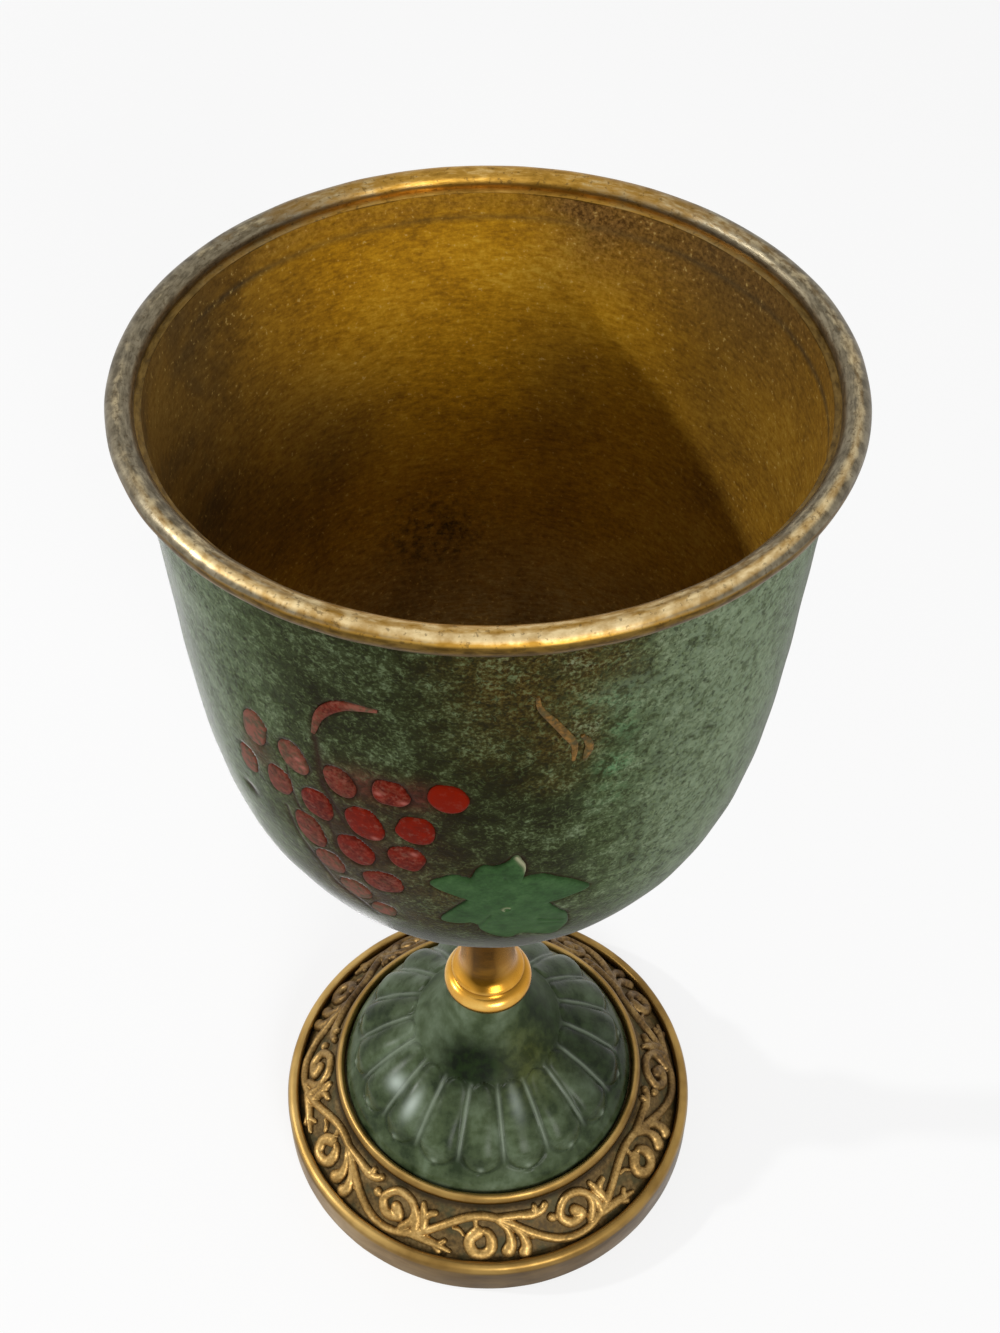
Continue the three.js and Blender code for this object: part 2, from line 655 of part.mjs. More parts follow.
// Raised strip with sloping sides along a list of band points. Its ends meet if looped.
function relief(points, widthAt, looped) {
  const count = points.length;
  const girth = ROUND * BAND_MIDDLE;
  const shorter = (value) => value - girth * Math.round(value / girth);
  const rows = points.map((point, i) => {
    const before = points[looped ? (i + count - 1) % count : Math.max(i - 1, 0)];
    const after = points[looped ? (i + 1) % count : Math.min(i + 1, count - 1)];
    const along = at(shorter(after.x - before.x), after.y - before.y).normalize();
    const reach = widthAt(i / (count - 1)) / 2;
    const side = at(along.y * reach, -along.x * reach);
    const corner = (share, height) => onBand(point.x + side.x * share, point.y + side.y * share, height);
    return [
      corner(1, SCROLL_GAP),
      corner(SCROLL_BEVEL, SCROLL_GAP + SCROLL_HEIGHT),
      corner(-SCROLL_BEVEL, SCROLL_GAP + SCROLL_HEIGHT),
      corner(-1, SCROLL_GAP),
    ];
  });
  const sides = rows[0].length;
  const triangles = [];
  const last = looped ? count : count - 1;
  for (let i = 0; i < last; i += 1) {
    const [here, next] = [rows[i], rows[(i + 1) % count]];
    for (let k = 0; k < sides; k += 1) {
      const m = (k + 1) % sides;
      triangles.push(here[k], next[m], next[k], here[k], here[m], next[m]);
    }
  }
  if (!looped) {
    for (let k = 1; k + 1 < sides; k += 1) {
      triangles.push(rows[0][0], rows[0][k + 1], rows[0][k]);
      triangles.push(rows[count - 1][0], rows[count - 1][k], rows[count - 1][k + 1]);
    }
  }
  return toSolid(bodyFromTriangles(triangles));
}

function vinePoint(along) {
  return at(along, VINE_CENTRE - VINE_SWAY * Math.cos((ROUND * along) / WAVE_LENGTH));
}

function scrollPiece({ line, widths, steps }, shift) {
  const curve = new THREE.SplineCurve(line.map(([along, down]) => at(along + shift, down)));
  const [first, middle, last] = widths;
  const widthAt = (share) => (share < 0.5
    ? THREE.MathUtils.lerp(first, middle, share * 2)
    : THREE.MathUtils.lerp(middle, last, share * 2 - 1));
  return relief(curve.getPoints(steps), widthAt, false);
}

function vineScroll() {
  const vine = [];
  for (let i = 0; i < WAVE_COUNT * WAVE_STEPS; i += 1) vine.push(vinePoint((i * WAVE_LENGTH) / WAVE_STEPS));
  let solid = relief(vine, () => VINE_WIDTH, true);
  for (let wave = 0; wave < WAVE_COUNT; wave += 1) {
    for (const piece of Object.values(SCROLL_PIECES)) {
      solid = solid.add(scrollPiece(piece, wave * WAVE_LENGTH));
    }
  }
  return welded(toGeometry(solid.simplify(SCROLL_TOLERANCE)));
}

// Assembly
const goblet = new THREE.Group();

function place(name, geometry, material) {
  const mesh = new THREE.Mesh(geometry, material);
  mesh.name = name;
  goblet.add(mesh);
}

const cells = [];

function inlay(name, { piece, cell }, material) {
  place(name, piece, material);
  cells.push(cell);
}

let grapeNumber = 0;
for (const row of BUNCH_ROWS) {
  for (let i = 0; i < row.count; i += 1) {
    grapeNumber += 1;
    const name = `grape_${String(grapeNumber).padStart(2, '0')}`;
    inlay(name, grapeInlay(row.left + i * row.pitch, row.drop), redEnamel);
  }
}
const stalkWidth = (share) => THREE.MathUtils.lerp(STALK_WIDTH, STALK_TIP, share);
inlay('grape_stalk', stripInlay(STALK_LINE, stalkWidth), redEnamel);
inlay('vine_leaf', leafInlay(), greenEnamel);
for (const [name, line] of Object.entries(TENDRIL_LINES)) {
  inlay(name, stripInlay(line, () => TENDRIL_WIDTH), wornBrass);
}

place('bowl_shell', bowlShell(cells), patina);
place('bowl_liner', bowlLiner(), innerBrass);
place('rim_ring', rimRing(), wornBrass);
place('bowl_boss', bowlBoss(), polishedBrass);
place('stem_collar', stemCollar(), polishedBrass);
place('stem_knop', stemKnop(), polishedBrass);
place('tie_stud', tieStud(), steel);
place('foot_washer', footWasher(), steel);
place('foot_nut', footNut(), steel);
place('foot_dome', footDome(), patina);
place('dome_bead', domeBead(), wornBrass);
place('border_plate', borderPlate(), sunkGround);
place('vine_scroll', vineScroll(), wornBrass);
place('foot_rim', footRim(), wornBrass);

export default goblet;
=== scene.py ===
"""Looks for a brass goblet: green patina, enamelled grapes and leaf, and a vine scroll round the foot.

Lengths in the tables are millimetres, with the goblet's axis on Z and its front facing -Y.
"""

import functools
import math

import bmesh
import bpy
import numpy as np
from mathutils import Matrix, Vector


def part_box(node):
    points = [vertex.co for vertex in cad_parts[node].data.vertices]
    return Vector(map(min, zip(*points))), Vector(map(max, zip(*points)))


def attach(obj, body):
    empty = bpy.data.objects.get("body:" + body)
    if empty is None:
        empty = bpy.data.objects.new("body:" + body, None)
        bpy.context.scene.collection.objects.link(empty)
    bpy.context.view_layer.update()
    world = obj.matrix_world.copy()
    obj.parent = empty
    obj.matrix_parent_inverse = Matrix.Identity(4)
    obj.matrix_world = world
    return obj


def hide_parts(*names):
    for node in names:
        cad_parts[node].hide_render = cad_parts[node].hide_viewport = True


MM = 0.001

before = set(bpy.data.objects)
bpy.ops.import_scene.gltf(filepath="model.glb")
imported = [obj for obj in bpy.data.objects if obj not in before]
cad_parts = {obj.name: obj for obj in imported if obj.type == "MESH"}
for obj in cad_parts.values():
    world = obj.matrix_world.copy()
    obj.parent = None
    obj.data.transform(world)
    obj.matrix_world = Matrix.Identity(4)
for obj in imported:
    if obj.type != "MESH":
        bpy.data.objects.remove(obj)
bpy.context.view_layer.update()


def top_of(node):
    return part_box(node)[1].z / MM


def base_of(node):
    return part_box(node)[0].z / MM


# Sizes shared with the solids
BRIM = top_of("bowl_shell")
BOWL_BASE = base_of("bowl_shell")
BOWL_HEIGHT = BRIM - BOWL_BASE
BOWL_RADIUS = 35.75
SHELL_WALL = 0.75
LINER_GAP = 0.1
LINER_WALL = 0.4
RIM_RADIUS = 37.97
RIM_WIDTH = 2.8
RIM_HEIGHT = 2.7
RIM_CENTRE_RISE = 0.75
DOME_TOP = top_of("foot_dome")
SEAT_HEIGHT = base_of("foot_dome")
DOME_RISE = DOME_TOP - SEAT_HEIGHT
DOME_RADIUS = 22.45
DOME_TOP_RADIUS = 5.3
DOME_WALL = 1.3
DOME_CROWN = 2
BORE_RADIUS = 1.8
PETAL_COUNT = 18
PETAL_SHIFT = math.radians(7)
PETAL_START = 3.9
PETAL_END = 17.8
FOOT_RADIUS = 32.2
FOOT_RIM_HEIGHT = top_of("foot_rim")
FOOT_RIM_WALL = 3.2
FOOT_RIM_LIP = 1.75
BAND_INNER = 24.15
BAND_RUN = 6.2
BAND_DROP = 5.8
BAND_TOP = 11.2
BAND_LENGTH = math.hypot(BAND_RUN, BAND_DROP)
BAND_SLOPE = (BAND_RUN / BAND_LENGTH, -BAND_DROP / BAND_LENGTH)
BAND_MIDDLE = BAND_INNER + BAND_RUN / 2
PLATE_THICKNESS = 1.2
LEDGE_HEIGHT = BAND_TOP - BAND_DROP - PLATE_THICKNESS
BEAD_MIDDLE = 23.35
BEAD_HALF = 0.75
BEAD_HEIGHT = 1.35
WAVE_COUNT = 6
WAVE_LENGTH = math.tau * BAND_MIDDLE / WAVE_COUNT
WAVE_SHIFT = -1.0
SCROLL_HEIGHT = 0.8
VINE_MIDDLE = 4.2
VINE_SWING = 2.95
VINE_HALF = 0.72
# How far enamel and wire reach down into their cells
SUNK = -0.25

# The camera that was fitted to the photo: lengths in photo pixels, degrees below level
PHOTO_HEIGHT = 1333
FOCAL_LENGTH = 1700
CAMERA_SHIFT = 12
CAMERA_TILT = 47.44
SENSOR_WIDTH = 36

BOWL_OUTLINE = [
    (0, 0), (0.17, 0.006), (0.34, 0.032), (0.5, 0.08), (0.645, 0.15), (0.782, 0.251),
    (0.875, 0.355), (0.929, 0.477), (0.96, 0.642), (0.976, 0.815), (1, 1),
]
DOME_OUTLINE = [
    (0, 0), (0.01, 0.06), (0.055, 0.135), (0.18, 0.27), (0.355, 0.39), (0.525, 0.48),
    (0.65, 0.555), (0.765, 0.65), (0.865, 0.77), (0.94, 0.88), (1, 1),
]

# Grapes on the unrolled bowl: across, below the brim, width, length, lean in degrees, and how worn
# and how bright the enamel is
GRAPES = [
    (-25.9, 23.8, 3.3, 5.4, 10, 0.95, 0), (-20.7, 24.7, 3.3, 4.7, -12, 0.7, 0),
    (-15.2, 25.3, 3.3, 4.5, -20, 0.35, 0), (-9.7, 24.7, 3.8, 3.9, 0, 0.2, 0.1),
    (-3.7, 24.1, 4.1, 4.1, 8, 0, 1),
    (-28.0, 31.2, 2.8, 4.3, 0, 0.85, 0), (-23.2, 30.8, 3.2, 4.8, 5, 0.45, 0),
    (-18.3, 31.3, 3.7, 4.9, -8, 0.15, 0.1), (-13.0, 31.3, 4.2, 5.2, -15, 0.05, 0.35),
    (-7.5, 30.3, 4.0, 4.6, 10, 0, 0.55),
    (-19.9, 37.2, 3.5, 5.6, -15, 0.4, 0), (-14.1, 37.2, 4.1, 5.0, -20, 0.15, 0.2),
    (-8.5, 36.1, 3.8, 4.4, 0, 0.15, 0.1),
    (-17.7, 42.3, 3.3, 4.2, -20, 0.65, 0), (-11.4, 42.3, 4.4, 4.3, -20, 0.3, 0),
    (-14.9, 46.8, 3.3, 4.0, -20, 0.85, 0), (-11.8, 50.0, 2.9, 3.0, 0, 0.9, 0),
]
DARK_EDGED = (1, 2, 3)
GLINTS = [(-20.0, 24.3), (-19.4, 25.3), (-10.9, 24.9), (-8.3, 25.6), (-7.6, 34.6), (-11.7, 33.3)]
STALK_LINE = [(-10.4, 12.0), (-12.2, 12.2), (-14.1, 12.7), (-15.6, 13.9), (-16.8, 15.8), (-17.6, 18.6)]
STALK_WIDTHS = (0.3, 0.9, 1.4, 1.3, 0.9, 0.5)
TENDRIL_LINES = {
    "tendril_long": [(4.5, 8.3), (4.8, 10.1), (6.0, 12.1), (7.2, 14.2), (8.2, 16.3), (8.2, 18.7)],
    "tendril_short": [(8.9, 15.0), (9.7, 16.7), (9.3, 19.0)],
}
TENDRIL_WIDTHS = (0.4, 0.8, 0.9, 0.4)
# Thin dark lines cut beside the bunch: points and width
INK_LINES = [
    ([(-17.6, 18.6), (-17.5, 20.5), (-17.4, 23), (-17.3, 26), (-16.8, 28.5), (-15.9, 30.8), (-15.2, 32.6)],
     0.48),
    ([(-21.9, 27), (-21.6, 30), (-21.1, 33.4), (-20.2, 34.6)], 0.22),
    ([(-22.9, 35), (-22.1, 38.6), (-19.9, 42.9), (-17.5, 47.2), (-14.5, 49.8), (-12.6, 52.4)], 0.26),
    ([(-17.2, 33.6), (-16.8, 35.8), (-16.7, 38.4)], 0.2),
]
LEAF_CENTRE = (2, 45)
LEAF_OUTLINE = [
    (-8.1, -4.9), (-6.7, -6.4), (-5.4, -7.1), (-4.5, -6.8), (-3.8, -6.7), (-3.2, -8.3), (-2.5, -9.2),
    (-1.3, -9.1), (-0.1, -9.8), (0.9, -11.1), (1.6, -9.8), (1.9, -8.7), (1.7, -7.1), (1.3, -6.3),
    (2.4, -6.7), (3.8, -6.8), (5.4, -5.6), (6.9, -4.5), (9, -2.2), (7.8, -1.5), (6.2, -0.9),
    (4.5, -0.6), (5.6, 1.9), (6.6, 3.6), (6.9, 6), (6.5, 8.2), (5.3, 10.5), (3.7, 9.4), (1.7, 8.1),
    (0.4, 9.5), (-1.3, 8.4), (-2.7, 6.3), (-3.2, 4.6), (-4, 3.9), (-5.7, 4.4), (-7.1, 3.6),
    (-5.6, 0.4), (-4.1, -2.2), (-5.2, -3), (-7, -3.9),
]
LEAF_CUTS = [
    ((-3.1, 4.9), (-1.7, 1.5)), ((3.4, 3.5), (6.2, 5.1)), ((3.6, 5.0), (6.2, 6.3)),
    ((-0.3, -6.9), (-0.1, -6.4)),
]
LEAF_BRIGHT_EDGE = [(0.95, -10.8), (1.9, -8.9), (1.95, -8.0)]
LEAF_DOT_RADIUS = 0.42

# One wave of the scroll from its crest: a line along and down the band, and its widths
SCROLL_PIECES = [
    ([(18.6, 6.1), (18.4, 3.6), (16.6, 1.4), (14, 1.2), (12.4, 3.2), (13.6, 5), (15.6, 4.6), (14.8, 3.5)],
     (1.4, 1.5, 1.9)),
    ([(-0.6, 3.75), (-1.45, 4.5), (-1.7, 5.6), (-1.0, 6.8), (0.2, 7.05), (1.35, 6.3), (1.55, 5.0),
      (1.05, 3.8), (0.55, 3.5)], (2.2, 1.9, 1.9, 1.9, 1.9, 1.8, 1.2)),
    ([(-4.3, 3.5), (-3.4, 3.6), (-2.7, 4.3)], (0.6, 0.8, 0.6)),
    ([(-0.95, 2.0), (-0.9, 2.6)], (1.1, 0.9)),
    ([(2.4, 1.9), (3.9, 3.3), (4.4, 5.2), (3.9, 6.6)], (1.1, 1.3, 2.2)),
    ([(4.4, 2.6), (5.9, 4.2), (6.5, 6), (6.2, 7.1)], (1.0, 1.3, 2.1)),
    ([(2.6, 1.5), (5.6, 1.5), (8.2, 1.8), (9.8, 1.5), (10.5, 0.95)], (1.2, 1.3, 1.7, 1.3)),
    ([(7.9, 2.0), (8.6, 1.5), (8.7, 0.75)], (1.2, 1.2, 1.1)),
    ([(11, 3.1), (11.15, 3.2)], (1.5, 1.5)),
    ([(7.6, 5.0), (7.7, 5.1)], (1.0, 1.0)),
    ([(-11.9, 5.9), (-10.8, 4.3), (-10.7, 2.9), (-11.4, 1.7)], (1.4, 1.5, 1.1)),
    ([(-8.6, 5.2), (-9, 3.2), (-9.7, 1.2)], (1.1, 1.8, 1.0)),
    ([(-8.9, 3.5), (-8.3, 2.4), (-7.4, 2.0)], (1.0, 1.3, 1.1)),
    ([(-10.4, 6.2), (-8, 6.3), (-6.4, 6.5), (-4.4, 7.1)], (1.5, 1.6, 0.8)),
    ([(-7, 6.4), (-5.9, 7.4)], (1.1, 1.1)),
    ([(-6.2, 6.5), (-5.3, 5.7)], (1.0, 0.9)),
]

# Soft spots: strength, then a place and a reach along each axis.
# On the unrolled bowl, across and below the brim:
FILL_SPOTS = [(1, -12.4, 24.3, 3.4, 2.4), (1, -6.8, 24.4, 2.2, 2.2), (0.8, -26.2, 27.5, 2.6, 3),
              (0.5, -16.4, 47.5, 4.5, 3.4), (0.45, -14, 36, 9, 9)]
OLIVE_SPOTS = [(1, 2, 4, 6, 5), (1, 9, 5, 6, 5), (1, 7.5, 14.5, 2.6, 5), (0.6, 1, 13, 5, 6),
               (0.7, -3, 42, 5, 4), (0.8, 9.8, 14.5, 1.6, 4), (0.6, 6.5, 22, 3, 1.6), (0.5, -8, 50, 8, 4)]
VERDIGRIS_SPOTS = [(1, 12.6, 21, 1.7, 1.5), (0.6, 10.8, 10.4, 2.8, 2), (0.5, 12.8, 15, 2.4, 3),
                   (0.35, 12, 25.5, 2.8, 2.5)]
DARK_SPOTS = [(1, -2, 30, 8, 12), (1, 1, 22, 5, 6)]
PALE_SPOT = (0.5, 11, 10, 4, 3)
# Inside the bowl, along X, Y and Z:
# Painted soft shadows on the back wall
LINER_SHADOWS = [(0.5, -19, 28, 119, 9, 14, 11), (0.4, 10, 31, 122, 7, 14, 12)]
LINER_PITS = (1.1, -7, 28, 99, 8, 10, 6)
# On the dome, turn in tenths of a radian and run up from its seat:
DOME_CORE = (1.3, -2.4, 20.3, 6, 4.4)
DOME_OLIVE = (1, 6.3, 20, 4.5, 5)
# Painted highlights on petals left of the front and a fainter one right of it
DOME_HIGHLIGHTS = [(1, -9.95, 11.3, 0.8, 1.4), (1, -7.35, 10.8, 0.55, 2.2), (0.4, 3, 14.2, 0.6, 2.6)]


# Outlines and fields

def unit(values):
    """Values held between 0 and 1."""
    return np.clip(values, 0, 1)


def bell(values, centre, reach):
    """1 at a centre, fading to both sides over a reach."""
    return np.exp(-((values - centre) / reach) ** 2)


def spots(points, *rows):
    """Sum of soft spots, each a strength, then a place and a reach along each axis."""
    axes = points.shape[1]
    return sum(row[0] * np.exp(-(((points - row[1:1 + axes]) / row[1 + axes:]) ** 2).sum(axis=1))
               for row in rows)


def full_turn(steps):
    return np.linspace(0, math.tau, steps, endpoint=False)


def wrap(turn):
    """Turn brought between minus and plus half a turn."""
    return (turn + math.pi) % math.tau - math.pi


def stretch(values, samples):
    """Values spread evenly over a number of samples."""
    return np.interp(np.linspace(0, 1, samples), np.linspace(0, 1, len(values)), values)


def run_along(line):
    """Distance run from a line's first point to each of its points."""
    return np.concatenate([[0], np.cumsum(np.hypot(*np.diff(line, axis=0).T))])


def spline(points, samples):
    """Evenly sampled uniform Catmull-Rom curve through points, as the solids' outlines use."""
    pts = np.array(points, float)
    last = len(pts) - 1
    place = np.linspace(0, last, samples)
    i = np.minimum(place.astype(int), last - 1)
    w = (place - i)[:, None]
    p0, p1 = pts[np.maximum(i - 1, 0)], pts[i]
    p2, p3 = pts[i + 1], pts[np.minimum(i + 2, last)]
    v0, v1 = (p2 - p0) / 2, (p3 - p1) / 2
    return (2 * p1 - 2 * p2 + v0 + v1) * w**3 + (3 * p2 - 3 * p1 - 2 * v0 - v1) * w**2 + v0 * w + p1


def loop_spline(points, samples):
    """Closed Catmull-Rom curve through points."""
    steps = 40
    wrapped = [*points[-2:], *points, *points[:3]]
    dense = spline(wrapped, (len(wrapped) - 1) * steps + 1)
    ring = dense[2 * steps:(2 + len(points)) * steps]
    return resample(np.vstack([ring, ring[:1]]), samples + 1)[:-1]


def resample(line, samples):
    """Points at even distances along a line."""
    run = run_along(line)
    at = np.linspace(0, run[-1], samples)
    return np.column_stack([np.interp(at, run, column) for column in line.T])


def soften(points, reach):
    """Closed outline with each corner rounded off over a distance of reach."""
    pts = [np.array(p, float) for p in points]
    out = []
    for i, corner in enumerate(pts):
        ends = []
        for other in (pts[i - 1], pts[(i + 1) % len(pts)]):
            gap = np.linalg.norm(other - corner)
            ends.append(corner + (other - corner) * min(reach / gap, 0.45))
        for t in (0, 1 / 3, 2 / 3, 1):
            out.append((1 - t) ** 2 * ends[0] + 2 * t * (1 - t) * corner + t * t * ends[1])
    return np.array(out)


def arc(centre, radii, start, end, steps):
    turn = np.radians(np.linspace(start, end, steps + 1))
    return [(centre[0] + radii[0] * math.cos(a), centre[1] + radii[1] * math.sin(a)) for a in turn]


def ripple(points, size, seed):
    """Smooth unevenness between about -1 and 1, with bumps about size millimetres across."""
    draw = np.random.RandomState(seed)
    total = np.zeros(len(points))
    for _ in range(10):
        direction = draw.normal(size=3)
        direction /= np.linalg.norm(direction)
        total += np.sin(points @ direction * (math.tau / (size * draw.uniform(0.7, 1.6)))
                        + draw.uniform(0, math.tau))
    return total / 4


def line_distance(points, line):
    """Distance from each point to an open line through its points."""
    best = np.full(len(points), np.inf)
    for a, b in zip(line[:-1], line[1:]):
        ab = b - a
        t = unit(((points - a) @ ab) / (ab @ ab))
        best = np.minimum(best, np.hypot(*(points - a - t[:, None] * ab).T))
    return best


def edge_distance(points, outline):
    """Distance from each point to a closed outline, below 0 inside it."""
    inside = np.zeros(len(points), bool)
    for a, b in zip(outline, np.roll(outline, -1, axis=0)):
        crosses = (a[1] > points[:, 1]) != (b[1] > points[:, 1])
        with np.errstate(divide="ignore", invalid="ignore"):
            where = a[0] + (points[:, 1] - a[1]) * (b[0] - a[0]) / (b[1] - a[1])
        inside ^= crosses & (points[:, 0] < where)
    distance = line_distance(points, np.vstack([outline, outline[:1]]))
    return np.where(inside, -distance, distance)


def near(points, line, reach):
    """Which points lie within a reach of the box round a line."""
    low, high = line.min(axis=0) - reach, line.max(axis=0) + reach
    return np.flatnonzero(((points > low) & (points < high)).all(axis=1))


# Meshes

def make_object(name, verts, faces, look, fields, crease=50):
    mesh = bpy.data.meshes.new(name)
    mesh.from_pydata((np.asarray(verts) * MM).tolist(), [], faces)
    mesh.validate()
    mesh.polygons.foreach_set("use_smooth", [True] * len(mesh.polygons))
    for key, values in fields.items():
        mesh.attributes.new(key, "FLOAT", "POINT").data.foreach_set("value", np.asarray(values, np.float32))
    mesh.set_sharp_from_angle(angle=math.radians(crease))
    obj = bpy.data.objects.new(name, mesh)
    obj.data.materials.append(look)
    bpy.context.scene.collection.objects.link(obj)
    return obj


def face_outwards(obj):
    """Turns a closed mesh's faces outwards."""
    work = bmesh.new()
    work.from_mesh(obj.data)
    bmesh.ops.recalc_face_normals(work, faces=work.faces)
    work.to_mesh(obj.data)
    work.free()
    return obj


def ring_faces(rows, columns, looped=False, start=0, flip=False):
    """Quads between rings of points that follow each other. Looped joins the last to the first."""
    faces = []
    for i in range(rows if looped else rows - 1):
        here, there = start + i * columns, start + (i + 1) % rows * columns
        for j in range(columns):
            k = (j + 1) % columns
            face = (here + j, here + k, there + k, there + j)
            faces.append(face[::-1] if flip else face)
    return faces


def around(radius, turn, height):
    """Points round Z, turn 0 at the front."""
    grids = np.broadcast_arrays(radius * np.sin(turn), -radius * np.cos(turn), height)
    return np.stack(grids, axis=-1).reshape(-1, 3)


def spun(radii, heights, turns):
    """Rings of points round Z, one for each radius and height."""
    return around(np.asarray(radii)[:, None], turns, np.asarray(heights)[:, None])


def push_out(points, distance):
    """Points moved away from the axis."""
    out = points * (1, 1, 0)
    out /= np.maximum(np.linalg.norm(out, axis=1), 1e-6)[:, None]
    return points + out * distance[:, None]


def turned(name, section, look, steps, wobble=0.0, seed=1, fields=None):
    """Ring turned round Z from a closed section that lists its outer face upwards.

    Fields hold a value for each point of the section, or for each point at each turn.
    """
    section = np.asarray(section, float)
    verts = spun(*section.T, full_turn(steps))
    if wobble:
        verts = push_out(verts, ripple(verts, 6, seed) * wobble)
    given = {key: np.broadcast_to(np.reshape(value, (len(section), -1)), (len(section), steps)).ravel()
             for key, value in (fields or {}).items()}
    return make_object(name, verts, ring_faces(len(section), steps, looped=True), look, given)


# The bowl's outline, from the brim down
bowl_line = spline([(a * BOWL_RADIUS, BOWL_BASE + b * BOWL_HEIGHT) for a, b in BOWL_OUTLINE], 2001)[::-1]
bowl_drop = run_along(bowl_line)
bowl_along = np.gradient(bowl_line, bowl_drop, axis=0)
bowl_out = np.column_stack([-bowl_along[:, 1], bowl_along[:, 0]])
bowl_out[-1] = (0, -1)


def bowl_at(drop, proud=0.0):
    """Radius and height on the bowl at a drop below the brim, proud of it by a distance."""
    values = [np.interp(drop, bowl_drop, column) for column in (*bowl_line.T, *bowl_out.T)]
    return np.maximum(values[0] + values[2] * proud, 0), values[1] + values[3] * proud


def on_bowl(flat, proud):
    """Points of the unrolled bowl, across and drop, put on it and proud of it."""
    across, drop = flat.T
    radius, height = bowl_at(drop, proud)
    return around(radius, across / bowl_at(drop)[0], height)


def oval(across, drop, width, length, lean, seed):
    """Uneven, slightly squared oval."""
    draw = np.random.RandomState(seed)
    turn = full_turn(56)
    uneven = 1 + sum(draw.uniform(-0.1, 0.1) / k**0.9 * np.cos(k * turn + draw.uniform(0, 6))
                     for k in range(1, 7))
    square = 1 + 0.06 * np.sin(2 * turn) ** 2
    x = width / 2 * np.cos(turn) * uneven * square
    y = length / 2 * np.sin(turn) * uneven * square
    lean = math.radians(lean)
    return np.column_stack([across + x * math.cos(lean) - y * math.sin(lean),
                            drop + x * math.sin(lean) + y * math.cos(lean)])


def ribbon(line, widths, samples):
    """Middle, side direction and half width of a strip along a line."""
    middle = resample(spline(line, 400), samples)
    along = np.gradient(middle, axis=0)
    along /= np.linalg.norm(along, axis=1)[:, None]
    return middle, np.column_stack([along[:, 1], -along[:, 0]]), stretch(widths, samples)[:, None] / 2


def strip_outline(line, widths):
    middle, side, reach = ribbon(line, widths, 24)
    return np.vstack([middle + side * reach, (middle - side * reach)[::-1]])


grape_outlines = [oval(*grape[:5], seed=i) for i, grape in enumerate(GRAPES)]
leaf_outline = loop_spline([(LEAF_CENTRE[0] + x, LEAF_CENTRE[1] + y) for x, y in LEAF_OUTLINE], 240)
stalk_outline = strip_outline(STALK_LINE, STALK_WIDTHS)
tendril_outlines = [strip_outline(line, TENDRIL_WIDTHS) for line in TENDRIL_LINES.values()]


# Materials

def tone(r, g, b):
    """Colour from 0 to 255 as seen on a screen, as Blender's linear colour."""
    return *(((c / 255 + 0.055) / 1.055) ** 2.4 if c > 10 else c / 255 / 12.92 for c in (r, g, b)), 1.0


